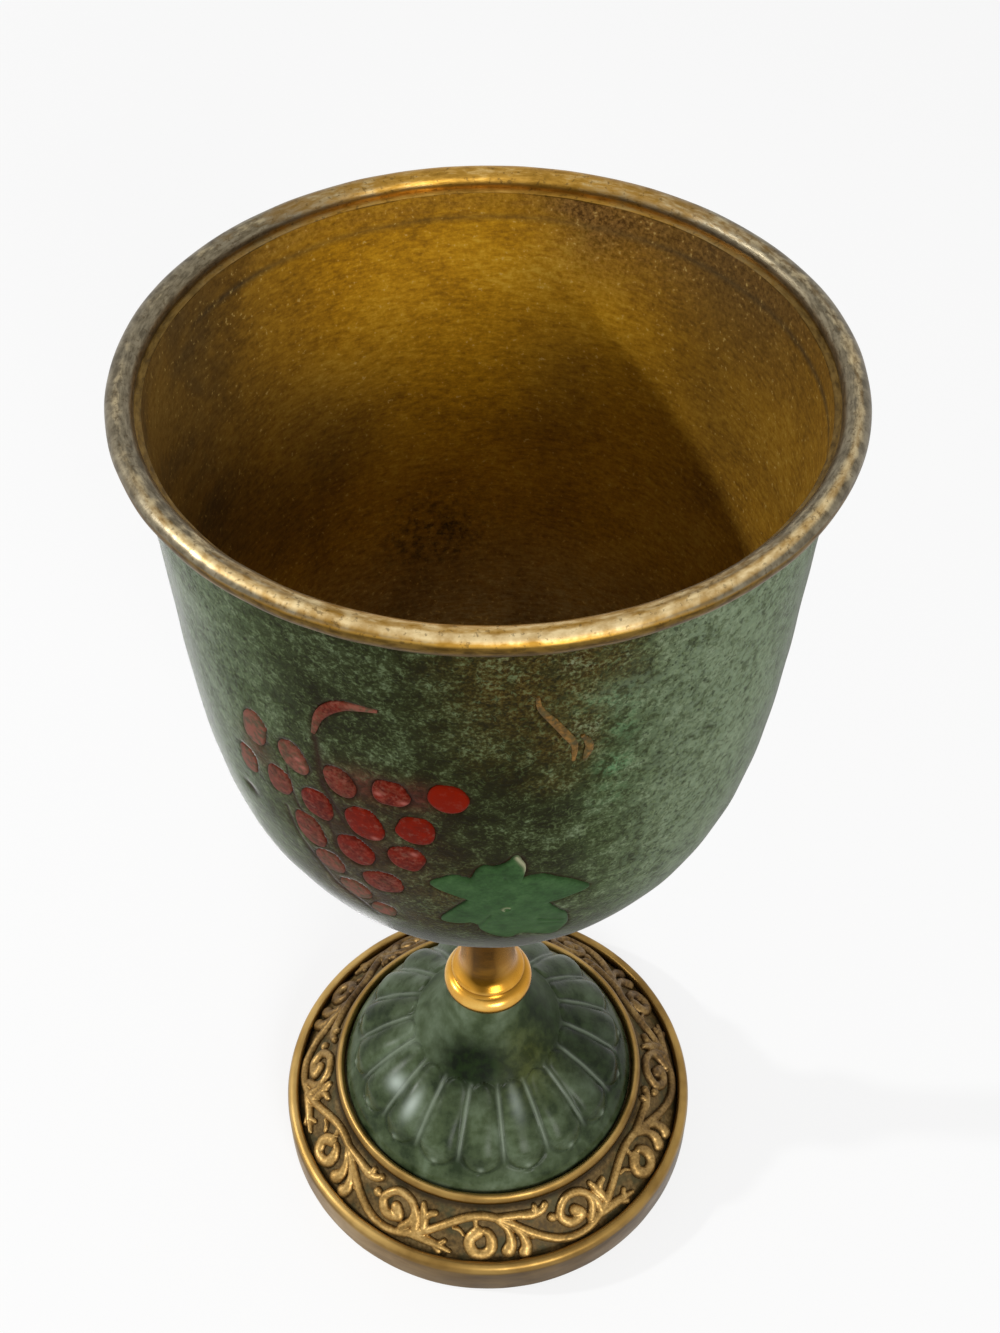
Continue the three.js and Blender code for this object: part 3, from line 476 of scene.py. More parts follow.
class Look:
    """A material painted in layers. Colours are tones from 0 to 255, and a string names a mesh's field."""

    def __init__(self, name, **sockets):
        self.material = bpy.data.materials.new(name)
        self.material.use_nodes = True
        self.nodes = self.material.node_tree.nodes
        self.links = self.material.node_tree.links
        self.shader = self.nodes["Principled BSDF"]
        for socket, value in sockets.items():
            self.shader.inputs[socket.replace("_", " ")].default_value = value
        self.place = self.nodes.new("ShaderNodeTexCoord").outputs["Object"]
        self.colour = None

    def put(self, node, values):
        for socket, value in values.items():
            if isinstance(value, str):
                field = self.nodes.new("ShaderNodeAttribute")
                field.attribute_name = value
                value = field.outputs["Fac"]
            if isinstance(value, bpy.types.NodeSocket):
                self.links.new(value, node.inputs[socket])
            else:
                node.inputs[socket].default_value = tone(*value) if isinstance(value, tuple) else value
        return node

    def noise(self, size, detail=3.0, rough=0.55, warp=0.0, vector=None):
        """Noise with features about size millimetres across."""
        node = self.nodes.new("ShaderNodeTexNoise")
        self.put(node, {"Vector": vector or self.place, "Scale": 1 / (size * MM), "Detail": detail,
                        "Roughness": rough, "Distortion": warp})
        return node.outputs["Fac"]

    def level(self, value, low, high, start=0.0, end=1.0):
        """Value from low to high, brought to start to end and held there."""
        node = self.nodes.new("ShaderNodeMapRange")
        return self.put(node, {0: value, 1: low, 2: high, 3: start, 4: end}).outputs[0]

    def math(self, kind, a, b=0.0):
        node = self.nodes.new("ShaderNodeMath")
        node.operation = kind
        return self.put(node, {0: a, 1: b}).outputs[0]

    def blend(self, *parts):
        """Sum of values, each with its share."""
        terms = [value if share == 1 else self.math("MULTIPLY", value, share) for value, share in parts]
        return functools.reduce(lambda a, b: self.math("ADD", a, b), terms)

    def ramp(self, factor, *stops):
        """Colour ramp from stops that each give a place and a tone."""
        node = self.put(self.nodes.new("ShaderNodeValToRGB"), {"Fac": factor})
        elements = node.color_ramp.elements
        while len(elements) < len(stops):
            elements.new(1.0)
        for element, (place, *colour) in zip(elements, stops):
            element.position = place
            element.color = tone(*colour)
        return node.outputs["Color"]

    def paint(self, colour, *amounts):
        """Lays a colour on, all over or by the product of the amounts."""
        if amounts:
            factor = functools.reduce(lambda a, b: self.math("MULTIPLY", a, b), amounts)
            node = self.nodes.new("ShaderNodeMix")
            node.data_type = "RGBA"
            colour = self.put(node, {0: factor, 6: self.colour, 7: colour}).outputs[2]
        self.colour = colour

    def round_grain(self, along, across):
        """Place with streaks that run round the axis, along and across them in millimetres."""
        split = self.put(self.nodes.new("ShaderNodeSeparateXYZ"), {0: self.place})
        x, y, z = split.outputs
        radius = self.math("SQRT", self.math("ADD", self.math("MULTIPLY", x, x), self.math("MULTIPLY", y, y)))
        depth = self.math("MULTIPLY", self.math("ADD", z, radius), along / across)
        return self.put(self.nodes.new("ShaderNodeCombineXYZ"), {0: x, 1: y, 2: depth}).outputs[0]

    def finish(self, roughness, height, distance, strength):
        """Joins up the colour, a roughness, and a bump with its height, its millimetres and its strength."""
        bump = self.put(self.nodes.new("ShaderNodeBump"),
                        {"Height": height, "Distance": distance * MM, "Strength": strength})
        self.put(self.shader, {"Base Color": self.colour, "Roughness": roughness,
                               "Normal": bump.outputs["Normal"]})
        return self.material


def patina_look():
    look = Look("green_patina", Specular_IOR_Level=0.03, Sheen_Weight=1.0, Sheen_Roughness=0.2)
    clusters = look.noise(1.7, 3, 0.6, 0.3)
    flakes = look.noise(0.95, 4, 0.65, 0.4)
    grains = look.noise(0.42, 3, 0.6)
    mixed = look.blend((look.noise(5, 4, 0.6, 0.5), 0.5), (clusters, 0.4), (grains, 0.1), ("pale_and_highlight", 0.1))
    look.paint(look.ramp(mixed, (0.36, 24, 23, 4), (0.45, 33, 35, 11), (0.54, 48, 54, 26), (0.68, 84, 96, 66)))
    # Paler patina in flakes where the field says; towards the bowl's right and left this is painted sheen
    look.paint(look.ramp("pale_and_highlight", (0.5, 96, 116, 76), (1.0, 130, 147, 118)),
               "pale_and_highlight", look.level(flakes, 0.41, 0.58, 0.12, 0.68))
    look.paint(look.ramp(grains, (0.38, 46, 34, 8), (0.62, 96, 78, 32)),
               "olive", look.level(clusters, 0.36, 0.6, 0.4, 1))
    look.paint(look.ramp(grains, (0.4, 84, 122, 82), (0.6, 122, 160, 116)), "verdigris",
               look.level(clusters, 0.43, 0.53, 0, 0.95), look.level(flakes, 0.42, 0.54, 0.1, 1))
    spread = look.blend((grains, 1), (mixed, 0.55))
    light = look.ramp(mixed, (0.42, 72, 82, 46), (0.58, 116, 132, 94), (0.72, 152, 166, 136))
    look.paint(light, look.level(spread, 0.8, 0.98, 0, 0.6))
    # Short pale strands where a warped noise crosses its middle value
    web = look.math("ABSOLUTE", look.math("SUBTRACT", look.noise(1.5, 2, 0.5, 1.2), 0.5))
    look.paint(light, look.level(web, 0.035, 0.008), look.level(look.noise(1.1, 2, 0.5), 0.5, 0.6), 0.6)
    specks = look.blend((look.noise(0.5, 2, 0.5), 1), ("pale_and_highlight", 0.02))
    look.paint((26, 26, 10), look.level(specks, 0.42, 0.34), 0.6)
    look.paint(look.ramp(clusters, (0.4, 72, 34, 24), (0.6, 100, 54, 42)),
               "fill", look.level(grains, 0.36, 0.62, 0.45, 0.95))
    look.paint((42, 20, 10), "ink", 0.9)
    return look.finish(look.level(spread, 0.65, 0.95, 0.42, 0.56), spread, 0.1, 0.55)


def dome_look():
    look = Look("foot_patina", Specular_IOR_Level=0.1)
    clouds = look.noise(1.8, 4, 0.6)
    mixed = look.blend((look.noise(7, 3, 0.55, 0.4), 0.7), (clouds, 0.3))
    look.paint(look.ramp(mixed, (0.36, 44, 56, 34), (0.48, 75, 88, 60), (0.58, 98, 112, 86),
                         (0.68, 118, 132, 108)))
    look.paint(look.ramp(clouds, (0.4, 50, 56, 14), (0.6, 88, 92, 40)), "olive", 0.8)
    # Darker near the top at the front, and painted shade down the right side
    look.paint(look.ramp(clouds, (0.42, 4, 12, 0), (0.64, 22, 38, 8)), "core_and_shade", 0.97)
    # Painted shade in the grooves round the petals and along the seam with the bead
    look.paint((22, 30, 14), "groove", 0.45)
    # Painted highlight along the ridges between petals and on the petal tips
    look.paint((152, 164, 144), "ridge_highlight", 0.75)
    # Painted highlights: light patches on a few petals
    look.paint((186, 198, 186), "pale_and_highlight", 0.9)
    rough = look.math("ADD", look.level(clouds, 0.35, 0.65, 0.25, 0.32), look.level("flank", 0, 1, 0, 0.3))
    return look.finish(rough, clouds, 0.04, 0.5)


def steel_look():
    look = Look("plain_steel", Metallic=1.0)
    fine = look.noise(0.6, 3, 0.6)
    mixed = look.blend((look.noise(5, 4, 0.6, 0.5), 0.6), (fine, 0.4))
    look.paint(look.ramp(mixed, (0.38, 110, 110, 106), (0.5, 158, 158, 154), (0.62, 190, 190, 186)))
    look.paint((110, 110, 106), look.level(look.noise(0.54, 2, 0.5), 0.4, 0.3), 0.5)
    return look.finish(look.level(mixed, 0.35, 0.65, 0.52, 0.36), fine, 0.03, 0.7)


def rubbed_brass_look(name, blotch, grain, streak, uneven, stain, rough, plain, layers):
    """Brass that is grey where it is tarnished, bright where it is rubbed and where highlights are painted, and
    brown in its hollows and where shade and dark reflections are painted.
    """
    look = Look(name, Metallic=0.97, Specular_IOR_Level=0.3)
    fine = look.noise(streak, 3, 0.6, vector=look.round_grain(streak, grain))
    mixed = look.blend((look.noise(blotch, 4, 0.6, 0.5), 0.55), (fine, 0.45))
    shift = look.level(mixed, 0.3, 0.7, -uneven, uneven)
    look.paint(look.ramp(mixed, *((place, *shade) for place, shade in zip((0.38, 0.5, 0.62), plain))))
    for field, (low, high) in layers.items():
        look.paint(look.ramp(fine, (0.36, *low), (0.62, *high)),
                   look.level(look.math("ADD", field, shift), 0.25, 0.75, 0, 0.9), look.level(field, 0.02, 0.2))
    look.paint((70, 54, 30), look.level(look.noise(0.5, 3, 0.6), 0.41, 0.34), stain)
    return look.finish(look.level(mixed, 0.35, 0.65, rough + 0.07, rough - 0.07), fine, 0.08 * stain, 0.6)


def liner_look():
    look = Look("inner_brass", Metallic=0.35, Specular_IOR_Level=0.2)
    blotch = look.noise(15, 4, 0.6, 0.4)
    streak = look.noise(1.6, 4, 0.65, vector=look.round_grain(1.6, 0.6))
    fine = look.noise(0.5, 3, 0.65)
    mixed = look.blend((blotch, 0.35), (streak, 0.4), (fine, 0.25))
    look.paint(look.ramp(mixed, (0.38, 146, 102, 14), (0.47, 184, 132, 20),
                         (0.54, 208, 154, 28), (0.64, 232, 184, 60)))
    look.paint(look.ramp(fine, (0.38, 84, 56, 20), (0.62, 150, 110, 54)),
               "brown", look.level(blotch, 0.36, 0.6, 0.7, 1))
    # Darker brass where the field says: tarnished towards the bottom, and painted shade on the left and right
    # walls and in soft shadows on the back wall
    look.paint(look.ramp(mixed, (0.4, 70, 55, 32), (0.62, 100, 82, 52)),
               "tarnish_and_shade", look.level(blotch, 0.36, 0.6, 1, 0.8))
    look.paint(look.ramp(mixed, (0.4, 112, 94, 58), (0.62, 172, 152, 104)),
               "dust", look.level(streak, 0.4, 0.6, 0.35, 0.8))
    look.paint((230, 200, 120), look.level(look.noise(0.5, 2, 0.5), 0.66, 0.74), 0.5)
    look.paint((30, 22, 8), "pits", look.level(look.noise(1.1, 4, 0.7), 0.44, 0.66, 0, 0.85))
    return look.finish(look.level(mixed, 0.35, 0.65, 0.58, 0.46), mixed, 0.1, 0.6)


def enamel_look(name, grain, patchy, light, mid, dark, worn, rim, glint):
    look = Look(name, Specular_IOR_Level=0.03)
    fine = look.noise(0.4, 3, 0.6)
    mixed = look.blend((look.noise(grain, 3, 0.6), 0.65), (fine, 0.35))
    look.paint(look.ramp(mixed, (0.36, *dark), (0.5, *mid), (0.64, *light)))
    look.paint(light, "bright", 0.85)
    uneven = look.noise(0.9, 3, 0.65)
    bare = look.ramp(uneven, (0.42, *worn[0]), (0.56, *worn[1]))
    rubbed = look.math("ADD", "worn", look.level(fine, 0.3, 0.7, -0.3, 0.3))
    look.paint(bare, look.level(rubbed, 0.1, 0.9), look.level("worn", 0, 0.1))
    look.paint(bare, look.level(uneven, 0.56, 0.66, 0, patchy), look.level("bright", 0, 1, 1, 0.3))
    look.paint(rim, "edge", 0.35)
    look.paint(glint, "glint", 0.8)
    return look.finish(look.level(fine, 0.3, 0.7, 0.36, 0.5), mixed, 0.05, 0.5)


def tendril_look():
    look = Look("rubbed_tendril", Specular_IOR_Level=0.15)
    fine = look.noise(0.5, 3, 0.6)
    look.paint(look.ramp(fine, (0.36, 76, 58, 24), (0.5, 112, 82, 34), (0.64, 142, 104, 48)))
    look.paint((68, 66, 36), look.level(look.noise(1.4, 3, 0.6), 0.48, 0.6, 0, 0.7))
    return look.finish(0.5, fine, 0.05, 0.6)


def scroll_look():
    look = Look("scroll_gold", Metallic=0.8)
    blotch = look.noise(4, 3, 0.6)
    fine = look.noise(0.45, 3, 0.6)
    mixed = look.blend((blotch, 0.5), (fine, 0.5))
    look.paint(look.ramp(mixed, (0.36, 128, 100, 52), (0.5, 166, 132, 74), (0.64, 198, 164, 102)))
    # Painted shade down the flanks of each stroke, where the relief is low
    shade_relief = look.math("ADD", "height", look.level(fine, 0.3, 0.7, -0.15, 0.15))
    look.paint((74, 56, 32), look.level(shade_relief, 0.6, 0.1), 0.85)
    # Painted shade round the scroll towards the back
    look.paint(look.ramp(fine, (0.36, 62, 46, 26), (0.64, 96, 72, 42)),
               "side_shade", look.level(blotch, 0.36, 0.6, 0.95, 0.6))
    return look.finish(look.level(mixed, 0.35, 0.65, 0.52, 0.38), fine, 0.04, 0.6)


def ground_look():
    look = Look("sunk_ground", Metallic=0.3, Specular_IOR_Level=0.2)
    fine = look.noise(0.5, 3, 0.6)
    mixed = look.blend((look.noise(4, 3, 0.6), 0.5), (fine, 0.5))
    look.paint(look.ramp(mixed, (0.36, 74, 58, 30), (0.5, 108, 86, 48), (0.64, 138, 114, 72)))
    look.paint((60, 66, 44), look.level(look.noise(3, 2, 0.5), 0.48, 0.6, 0, 0.6))
    look.paint((46, 37, 24), "shade", 0.85)
    return look.finish(look.level(fine, 0.3, 0.7, 0.5, 0.65), fine, 0.08, 0.8)


patina = patina_look()
foot_patina = dome_look()
inner_brass = liner_look()
worn_brass = rubbed_brass_look(
    "worn_brass", blotch=4, grain=0.5, streak=1.6, uneven=0.22, stain=0.5, rough=0.42,
    plain=((140, 104, 38), (168, 128, 54), (188, 150, 74)),
    layers={"grey": ((80, 77, 66), (122, 117, 101)), "hollows_and_shade": ((62, 46, 16), (102, 79, 34)),
            "rubbed_and_highlight": ((182, 154, 104), (224, 202, 154))})
foot_brass = rubbed_brass_look(
    "foot_brass", blotch=9, grain=1.8, streak=8, uneven=0.12, stain=0.0, rough=0.4,
    plain=((120, 92, 46), (140, 110, 58), (160, 128, 70)),
    layers={"grey": ((110, 100, 80), (150, 138, 110)), "hollows_and_shade": ((66, 44, 0), (90, 64, 4)),
            "rubbed_and_highlight": ((166, 132, 72), (196, 162, 98))})
knop_brass = rubbed_brass_look(
    "knop_brass", blotch=7, grain=1.5, streak=5, uneven=0.1, stain=0.0, rough=0.24,
    plain=((184, 130, 42), (200, 144, 52), (214, 160, 66)),
    layers={"grey": ((150, 110, 50), (180, 136, 64)), "hollows_and_shade": ((62, 38, 0), (94, 60, 2)),
            "rubbed_and_highlight": ((216, 164, 76), (234, 192, 106))})
plain_steel = steel_look()
red_enamel = enamel_look(
    "red_enamel", grain=1.6, patchy=0.6, light=(132, 24, 0), mid=(104, 22, 6), dark=(72, 19, 8),
    worn=((92, 80, 60), (136, 84, 68)), rim=(52, 16, 8), glint=(186, 112, 100))
green_enamel = enamel_look(
    "green_enamel", grain=2.2, patchy=0.3, light=(70, 102, 60), mid=(56, 87, 48), dark=(43, 69, 36),
    worn=((42, 62, 34), (50, 72, 42)), rim=(34, 46, 24), glint=(188, 184, 150))
tendril_gold = tendril_look()
scroll_gold = scroll_look()
sunk_ground = ground_look()


# Bowl

def dress(obj, node):
    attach(obj, "root")
    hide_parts(node)


def bowl_skin():
    """Green outside with cut cells and lines, in a grid that's fine where the decoration is."""
    fine = np.arange(-0.94, 0.44, 0.0078)
    coarse = 0.03
    turns = np.concatenate([fine, np.arange(fine[-1] + coarse, fine[0] + math.tau - coarse / 2, coarse)])
    fine_drop = 56.5
    drops = np.concatenate([np.arange(0, fine_drop, 0.28), np.linspace(fine_drop, bowl_drop[-1], 36)[:-1]])
    columns = len(turns)
    turn, drop = (grid.ravel() for grid in np.meshgrid(turns, drops))
    across = wrap(turn) * np.repeat(bowl_at(drops)[0], columns)
    flat = np.column_stack([across, drop])
    ink = np.zeros(len(flat))
    inside = np.zeros(len(flat), bool)
    edged = [(outline, 0.95 if i in DARK_EDGED else 0.5) for i, outline in enumerate(grape_outlines)]
    edged += [(stalk_outline, 0.45), (leaf_outline, 0.8), *((outline, 0.15) for outline in tendril_outlines)]
    for outline, share in edged:
        chosen = near(flat, outline, 1.5)
        distance = edge_distance(flat[chosen], outline)
        ink[chosen] = np.maximum(ink[chosen], share * bell(distance, 0, 0.36))
        inside[chosen] |= distance < 0
    groove = ink.copy()
    for line, width in INK_LINES:
        line = resample(spline(line, 100), 30)
        chosen = near(flat, line, 1)
        cut = bell(line_distance(flat[chosen], line), 0, width)
        ink[chosen] = np.maximum(ink[chosen], cut)
        groove[chosen] = np.maximum(groove[chosen], 0.7 * cut)
    pit = spots(flat, (1, -29.2, 37.8, 1.1, 0.8))
    proud = -0.11 * groove - 0.2 * pit + 0.05 * ripple(spun(*bowl_at(drops), turns), 7, 5)
    proud[inside] = -0.2
    radius, height = bowl_at(drop, proud * unit(drop / 1.2))
    outer = around(radius, turn, height)
    inner_drops = np.linspace(bowl_drop[-1] - 4, 0, 30)
    inner = spun(*bowl_at(inner_drops, -SHELL_WALL), turns)
    verts = np.vstack([outer, inner, [(0, 0, BOWL_BASE), (0, 0, BOWL_BASE + SHELL_WALL)]])
    first_inner = len(outer)
    faces = ring_faces(len(drops), columns, flip=True)
    faces += ring_faces(len(inner_drops), columns, start=first_inner, flip=True)
    last_outer, last_inner = first_inner - columns, first_inner + len(inner) - columns
    low_pole, high_pole = len(verts) - 2, len(verts) - 1
    for j in range(columns):
        k = (j + 1) % columns
        faces += [(low_pole, last_outer + k, last_outer + j), (high_pole, first_inner + j, first_inner + k),
                  (j, k, last_inner + k, last_inner + j)]
    away = unit((110 - np.abs(across)) / 60)
    right = (unit((across - 5) / 14) + 0.5 * unit((across - 19) / 12)) * away
    left = unit((-across - 17) / 14) * away
    # Painted sheen: paler towards the right and the left of the bowl, plus a paler patina spot, held back in
    # darker spots and at the pit
    pale_and_highlight = right + left + spots(flat, PALE_SPOT) - 0.55 * spots(flat, *DARK_SPOTS) - 0.8 * pit
    painted = {"ink": np.maximum(ink, pit), "fill": unit(spots(flat, *FILL_SPOTS)),
               "olive": unit(spots(flat, *OLIVE_SPOTS)), "pale_and_highlight": np.clip(pale_and_highlight, -0.6, 1.5),
               "verdigris": unit(spots(flat, *VERDIGRIS_SPOTS))}
    hidden = np.zeros(len(verts) - len(outer))
    fields = {key: np.append(value, hidden) for key, value in painted.items()}
    dress(make_object("bowl_skin", verts, faces, patina, fields), "bowl_shell")


def bowl_inside():
    depth = SHELL_WALL + LINER_GAP
    drops = np.linspace(0, bowl_drop[-1], 130)[:-1]
    rows, columns = len(drops), 288
    half = rows * columns
    turns = full_turn(columns)
    rings = np.vstack([spun(*bowl_at(drops, -depth - wall), turns) for wall in (LINER_WALL, 0)])
    wave = 0.04 * ripple(rings, 9, 8)
    wave[half:] = 0
    poles = [(0, 0, BOWL_BASE + depth + LINER_WALL), (0, 0, BOWL_BASE + depth)]
    verts = np.vstack([push_out(rings, wave), poles])
    faces = ring_faces(rows, columns) + ring_faces(rows, columns, start=half, flip=True)
    high_pole, low_pole = 2 * half, 2 * half + 1
    for j in range(columns):
        k = (j + 1) % columns
        faces += [(high_pole, half - columns + j, half - columns + k),
                  (low_pole, 2 * half - columns + k, 2 * half - columns + j), (k, j, half + j, half + k)]
    x, y, z = verts.T
    below = BRIM - z
    bottom = unit((below - 28) / 40)
    right_back = unit((x - 2) / 10) * unit((y - 5) / 12) * unit((14 - below) / 10)
    # Painted shade on the left and right walls, weaker lower down
    shaded_sides = (unit((-x - 0.5 * y - 3) / 23) + 0.6 * unit((x - 14) / 12)) * np.clip(1.5 - below / 42, 0.35, 1)
    # Painted soft shadows on the back wall
    clouds = spots(verts, *LINER_SHADOWS)
    # Also darker towards the bottom and in a thin line 2.9 mm below the brim
    fields = {"tarnish_and_shade": unit(0.6 * bottom + 0.5 * bell(below, 2.9, 0.3) + shaded_sides + clouds),
              "dust": unit((below - 46) / 16),
              "brown": unit(0.4 * unit((2.6 - below) / 0.8) + 0.9 * right_back + 0.3 * bottom),
              "pits": unit(spots(verts, LINER_PITS))}
    dress(make_object("bowl_inside", verts, faces, inner_brass, fields), "bowl_liner")


def rim():
    """Rolled rim. Places on its bead are in degrees from the outer side, up and over to the inner."""
    skirt_inside = BOWL_RADIUS + 0.1
    skirt = BOWL_RADIUS + 0.35
    inside = BOWL_RADIUS - SHELL_WALL - LINER_GAP - LINER_WALL
    centre = (RIM_RADIUS - RIM_WIDTH / 2, BRIM + RIM_CENTRE_RISE)
    start, end, arc_steps = -40, 198, 26
    section = [
        (skirt_inside, BRIM - 1.2), (skirt, BRIM - 1.2), (skirt + 0.03, BRIM - 0.75), (skirt, BRIM - 0.4),
        *arc(centre, (RIM_WIDTH / 2, RIM_HEIGHT / 2), start, end, arc_steps),
        (inside + 0.25, BRIM + 0.22), (inside, BRIM + 0.12), (inside, BRIM), (skirt_inside, BRIM),
    ]
    steps = 320
    turn = full_turn(steps)
    place = np.concatenate([[-60] * 4, np.linspace(start, end, arc_steps + 1), [230] * 4])[:, None]
    front = (1 + np.cos(turn)) / 2
    left = unit(-np.sin(turn))
    side = np.abs(np.sin(turn))
    back = unit(-np.cos(turn))
    # Painted highlight: a bright band over the bead, lower and narrower at the front and fainter at the flanks
    # and back, over rubbed brass
    rubbed_and_highlight = bell(place, 118 - 60 * front, 46 - 24 * front) * (0.6 + 0.4 * front - 0.3 * left)
    rubbed_and_highlight = np.maximum(rubbed_and_highlight * (1 - 0.5 * side**2) * (1 - 0.5 * back), 0.5 * front**3 * bell(place, 105, 30))
    grey = (1 - rubbed_and_highlight) * (0.1 + side + 0.3 * front) + back * unit((45 - place) / 20)
    # Painted shade under the bead, widest at the front; darker in the crease on its inner side except at the
    # back
    hollows_and_shade = unit((8 + 24 * front**2 - place) / 20) + unit((place - 175) / 15) * (1 - 0.85 * back)
    fields = {"rubbed_and_highlight": rubbed_and_highlight, "hollows_and_shade": unit(hollows_and_shade), "grey": unit(grey - hollows_and_shade)}
    dress(turned("rim_bead", section, worn_brass, steps, 0.035, 3, fields), "rim_ring")


def inlay(name, node, outline, look, face, crown, fields=None, cuts=()):
    """Enamel piece from an outline on the unrolled bowl, in rings about its middle."""
    centre = np.array(LEAF_CENTRE, float) if cuts else np.mean(outline, axis=0)
    shares = np.array([0.12, 0.28, 0.42, 0.54, 0.66, 0.76, 0.84, 0.9, 0.95, 0.98, 1.0, 1.01])
    if cuts:
        shares = np.concatenate([np.arange(0.02, 0.12, 0.014), np.arange(0.12, 0.95, 0.04), shares[-4:]])
    lifts = face + crown * (1 - shares**2) - 0.6 * face * unit((shares - 0.88) / 0.12) ** 2
    lifts[-1] = SUNK
    flat = np.vstack([*(centre + (outline - centre) * share for share in shares), centre, centre])
    lift = np.append(np.repeat(lifts, len(outline)), [face + crown, SUNK])
    share = np.append(np.repeat(shares, len(outline)), [0, 1])
    scratch = np.zeros(len(flat))
    for cut in cuts:
        scratch = np.maximum(scratch, bell(line_distance(flat, np.array(cut) + centre), 0, 0.2))
    lift = lift - 0.12 * scratch * (lift > 0)
    glint = spots(flat, *((1, x, y, 0.4, 0.3) for x, y in GLINTS))
    if cuts:
        away = flat - centre
        dot = bell(np.hypot(*away.T), LEAF_DOT_RADIUS, 0.14)
        lift = lift + 0.1 * dot
        bright_edge = line_distance(flat, np.array(LEAF_BRIGHT_EDGE) + centre)
        glint = bell(bright_edge, 0, 0.22) + 0.6 * dot * (away.sum(axis=1) < 0.1)
    count = len(outline)
    faces = ring_faces(len(shares), count, flip=True)
    top, low, last = len(flat) - 2, len(flat) - 1, (len(shares) - 1) * count
    for j in range(count):
        k = (j + 1) % count
        faces += [(top, k, j), (low, last + j, last + k)]
    size = np.hypot(*(outline - centre).T).mean()
    given = {"worn": 0, "bright": 0, "glint": unit(glint),
             "edge": np.maximum(unit(1 - (1 - share) * size / 0.32), scratch), **(fields or {})}
    given = {key: np.broadcast_to(value, len(flat)) for key, value in given.items()}
    dress(face_outwards(make_object(name, on_bowl(flat, lift), faces, look, given, 80)), node)


def strip_piece(name, node, line, widths, look, height, worn):
    """Raised strip with a round back along a line on the unrolled bowl, worn along it as listed."""
    samples = 40
    middle, side, reach = ribbon(line, widths, samples)
    profile = [(1, SUNK), (1, 0.3), (0.75, 0.8), (0.35, 1), (-0.35, 1), (-0.75, 0.8), (-1, 0.3), (-1, SUNK)]
    size = len(profile)
    flat = np.vstack([middle[i] + side[i] * reach[i] * share for i in range(samples) for share, _ in profile])
    lift = np.array([rise * height if rise > 0 else rise for _, rise in profile] * samples)
    edges = [0.9 if abs(share) == 1 else 0 for share, _ in profile] * samples
    faces = ring_faces(samples, size)
    faces += [tuple(range(size)), tuple(range((samples - 1) * size, samples * size))]
    nothing = np.zeros(len(flat))
    rubbed = np.repeat(stretch(worn, samples), size)
    given = {"worn": rubbed, "bright": nothing, "glint": nothing, "edge": edges}
    dress(face_outwards(make_object(name, on_bowl(flat, lift), faces, look, given, 60)), node)


def decoration():
    for i, (outline, grape) in enumerate(zip(grape_outlines, GRAPES), 1):
        node = f"grape_{i:02d}"
        inlay(f"{node}_enamel", node, outline, red_enamel, 0.1, 0.08,
              {"worn": grape[5], "bright": grape[6]})
    inlay("leaf_enamel", "vine_leaf", leaf_outline, green_enamel, 0.18, 0.03, cuts=LEAF_CUTS)
    strip_piece("stalk_enamel", "grape_stalk", STALK_LINE, STALK_WIDTHS, red_enamel, 0.12,
                [1, 0.85, 0.25, 0.4, 0.6, 0.8])
    for name, line in TENDRIL_LINES.items():
        strip_piece(f"{name}_wire", name, line, TENDRIL_WIDTHS, tendril_gold, 0.1, [0])


# Stem

def stem():
    half = 1.6
    step = DOME_TOP + 3.2
    top = top_of("stem_knop")
    knop = [
        (BORE_RADIUS, DOME_TOP), *arc((4.85, DOME_TOP + half), (half, half), -80, 70, 16),
        (5.12, step + 0.05), (4.95, step + 0.35), (5.1, step + 0.6), (5.35, step + 0.95), (5.35, step + 1.25),
        (5.0, step + 1.6), (4.55, step + 2.0), (4.2, step + 2.6), (4.0, step + 3.4), (3.8, step + 6.5),
        (3.7, step + 9), (3.8, top - 3), (4.0, top), (BORE_RADIUS, top),
    ]
    z = np.array([point[1] for point in knop])[:, None] - step
    turn = wrap(full_turn(160))
    right = unit(np.sin(turn))
    # Painted dark reflection of the bowl on the neck, strongest at the front, and painted shade down the right
    # side; brown in the groove between the beads
    hollows_and_shade = (0.55 * bell(z, 0.3, 0.6) + unit((z - 1.2) / 1.2) * (0.3 + 0.65 * bell(turn, -0.2, 0.6))
            + 0.5 * bell(z, 1.2, 0.6) * bell(turn, -0.15, 0.25) + 0.2 * right)
    # Painted highlights on the lower and upper beads, weaker on the right
    rubbed_and_highlight = (0.7 * bell(z, -0.9, 0.9) + 0.5 * bell(z, 1.25, 0.35)) * (1 - 0.6 * right)
    fields = {"hollows_and_shade": unit(hollows_and_shade), "rubbed_and_highlight": rubbed_and_highlight, "grey": 0 * z}
    dress(turned("knop_turning", knop, knop_brass, 160, fields=fields), "stem_knop")
    base = base_of("stem_collar")
    under = bowl_drop[-1] - np.array([6.4, 5.6, 4.8])
    collar = [
        (BORE_RADIUS, base), (4.0, base), *arc((5.2, base + 6.5), (1.4, 1.4), -75, 75, 10),
        (4.9, base + 9.1), (5.2, base + 10.2), (6.2, base + 11.4), (6.55, base + 12.1),
        *zip(*bowl_at(under, 0.15)), (4.1, base + 9), (BORE_RADIUS, base + 9),
    ]
    dress(turned("collar_turning", collar, knop_brass, 128), "stem_collar")


# Foot

dome_line = spline([(DOME_RADIUS - a * (DOME_RADIUS - DOME_TOP_RADIUS), SEAT_HEIGHT + b * DOME_RISE)
                    for a, b in DOME_OUTLINE], 1201)
dome_run = run_along(dome_line)


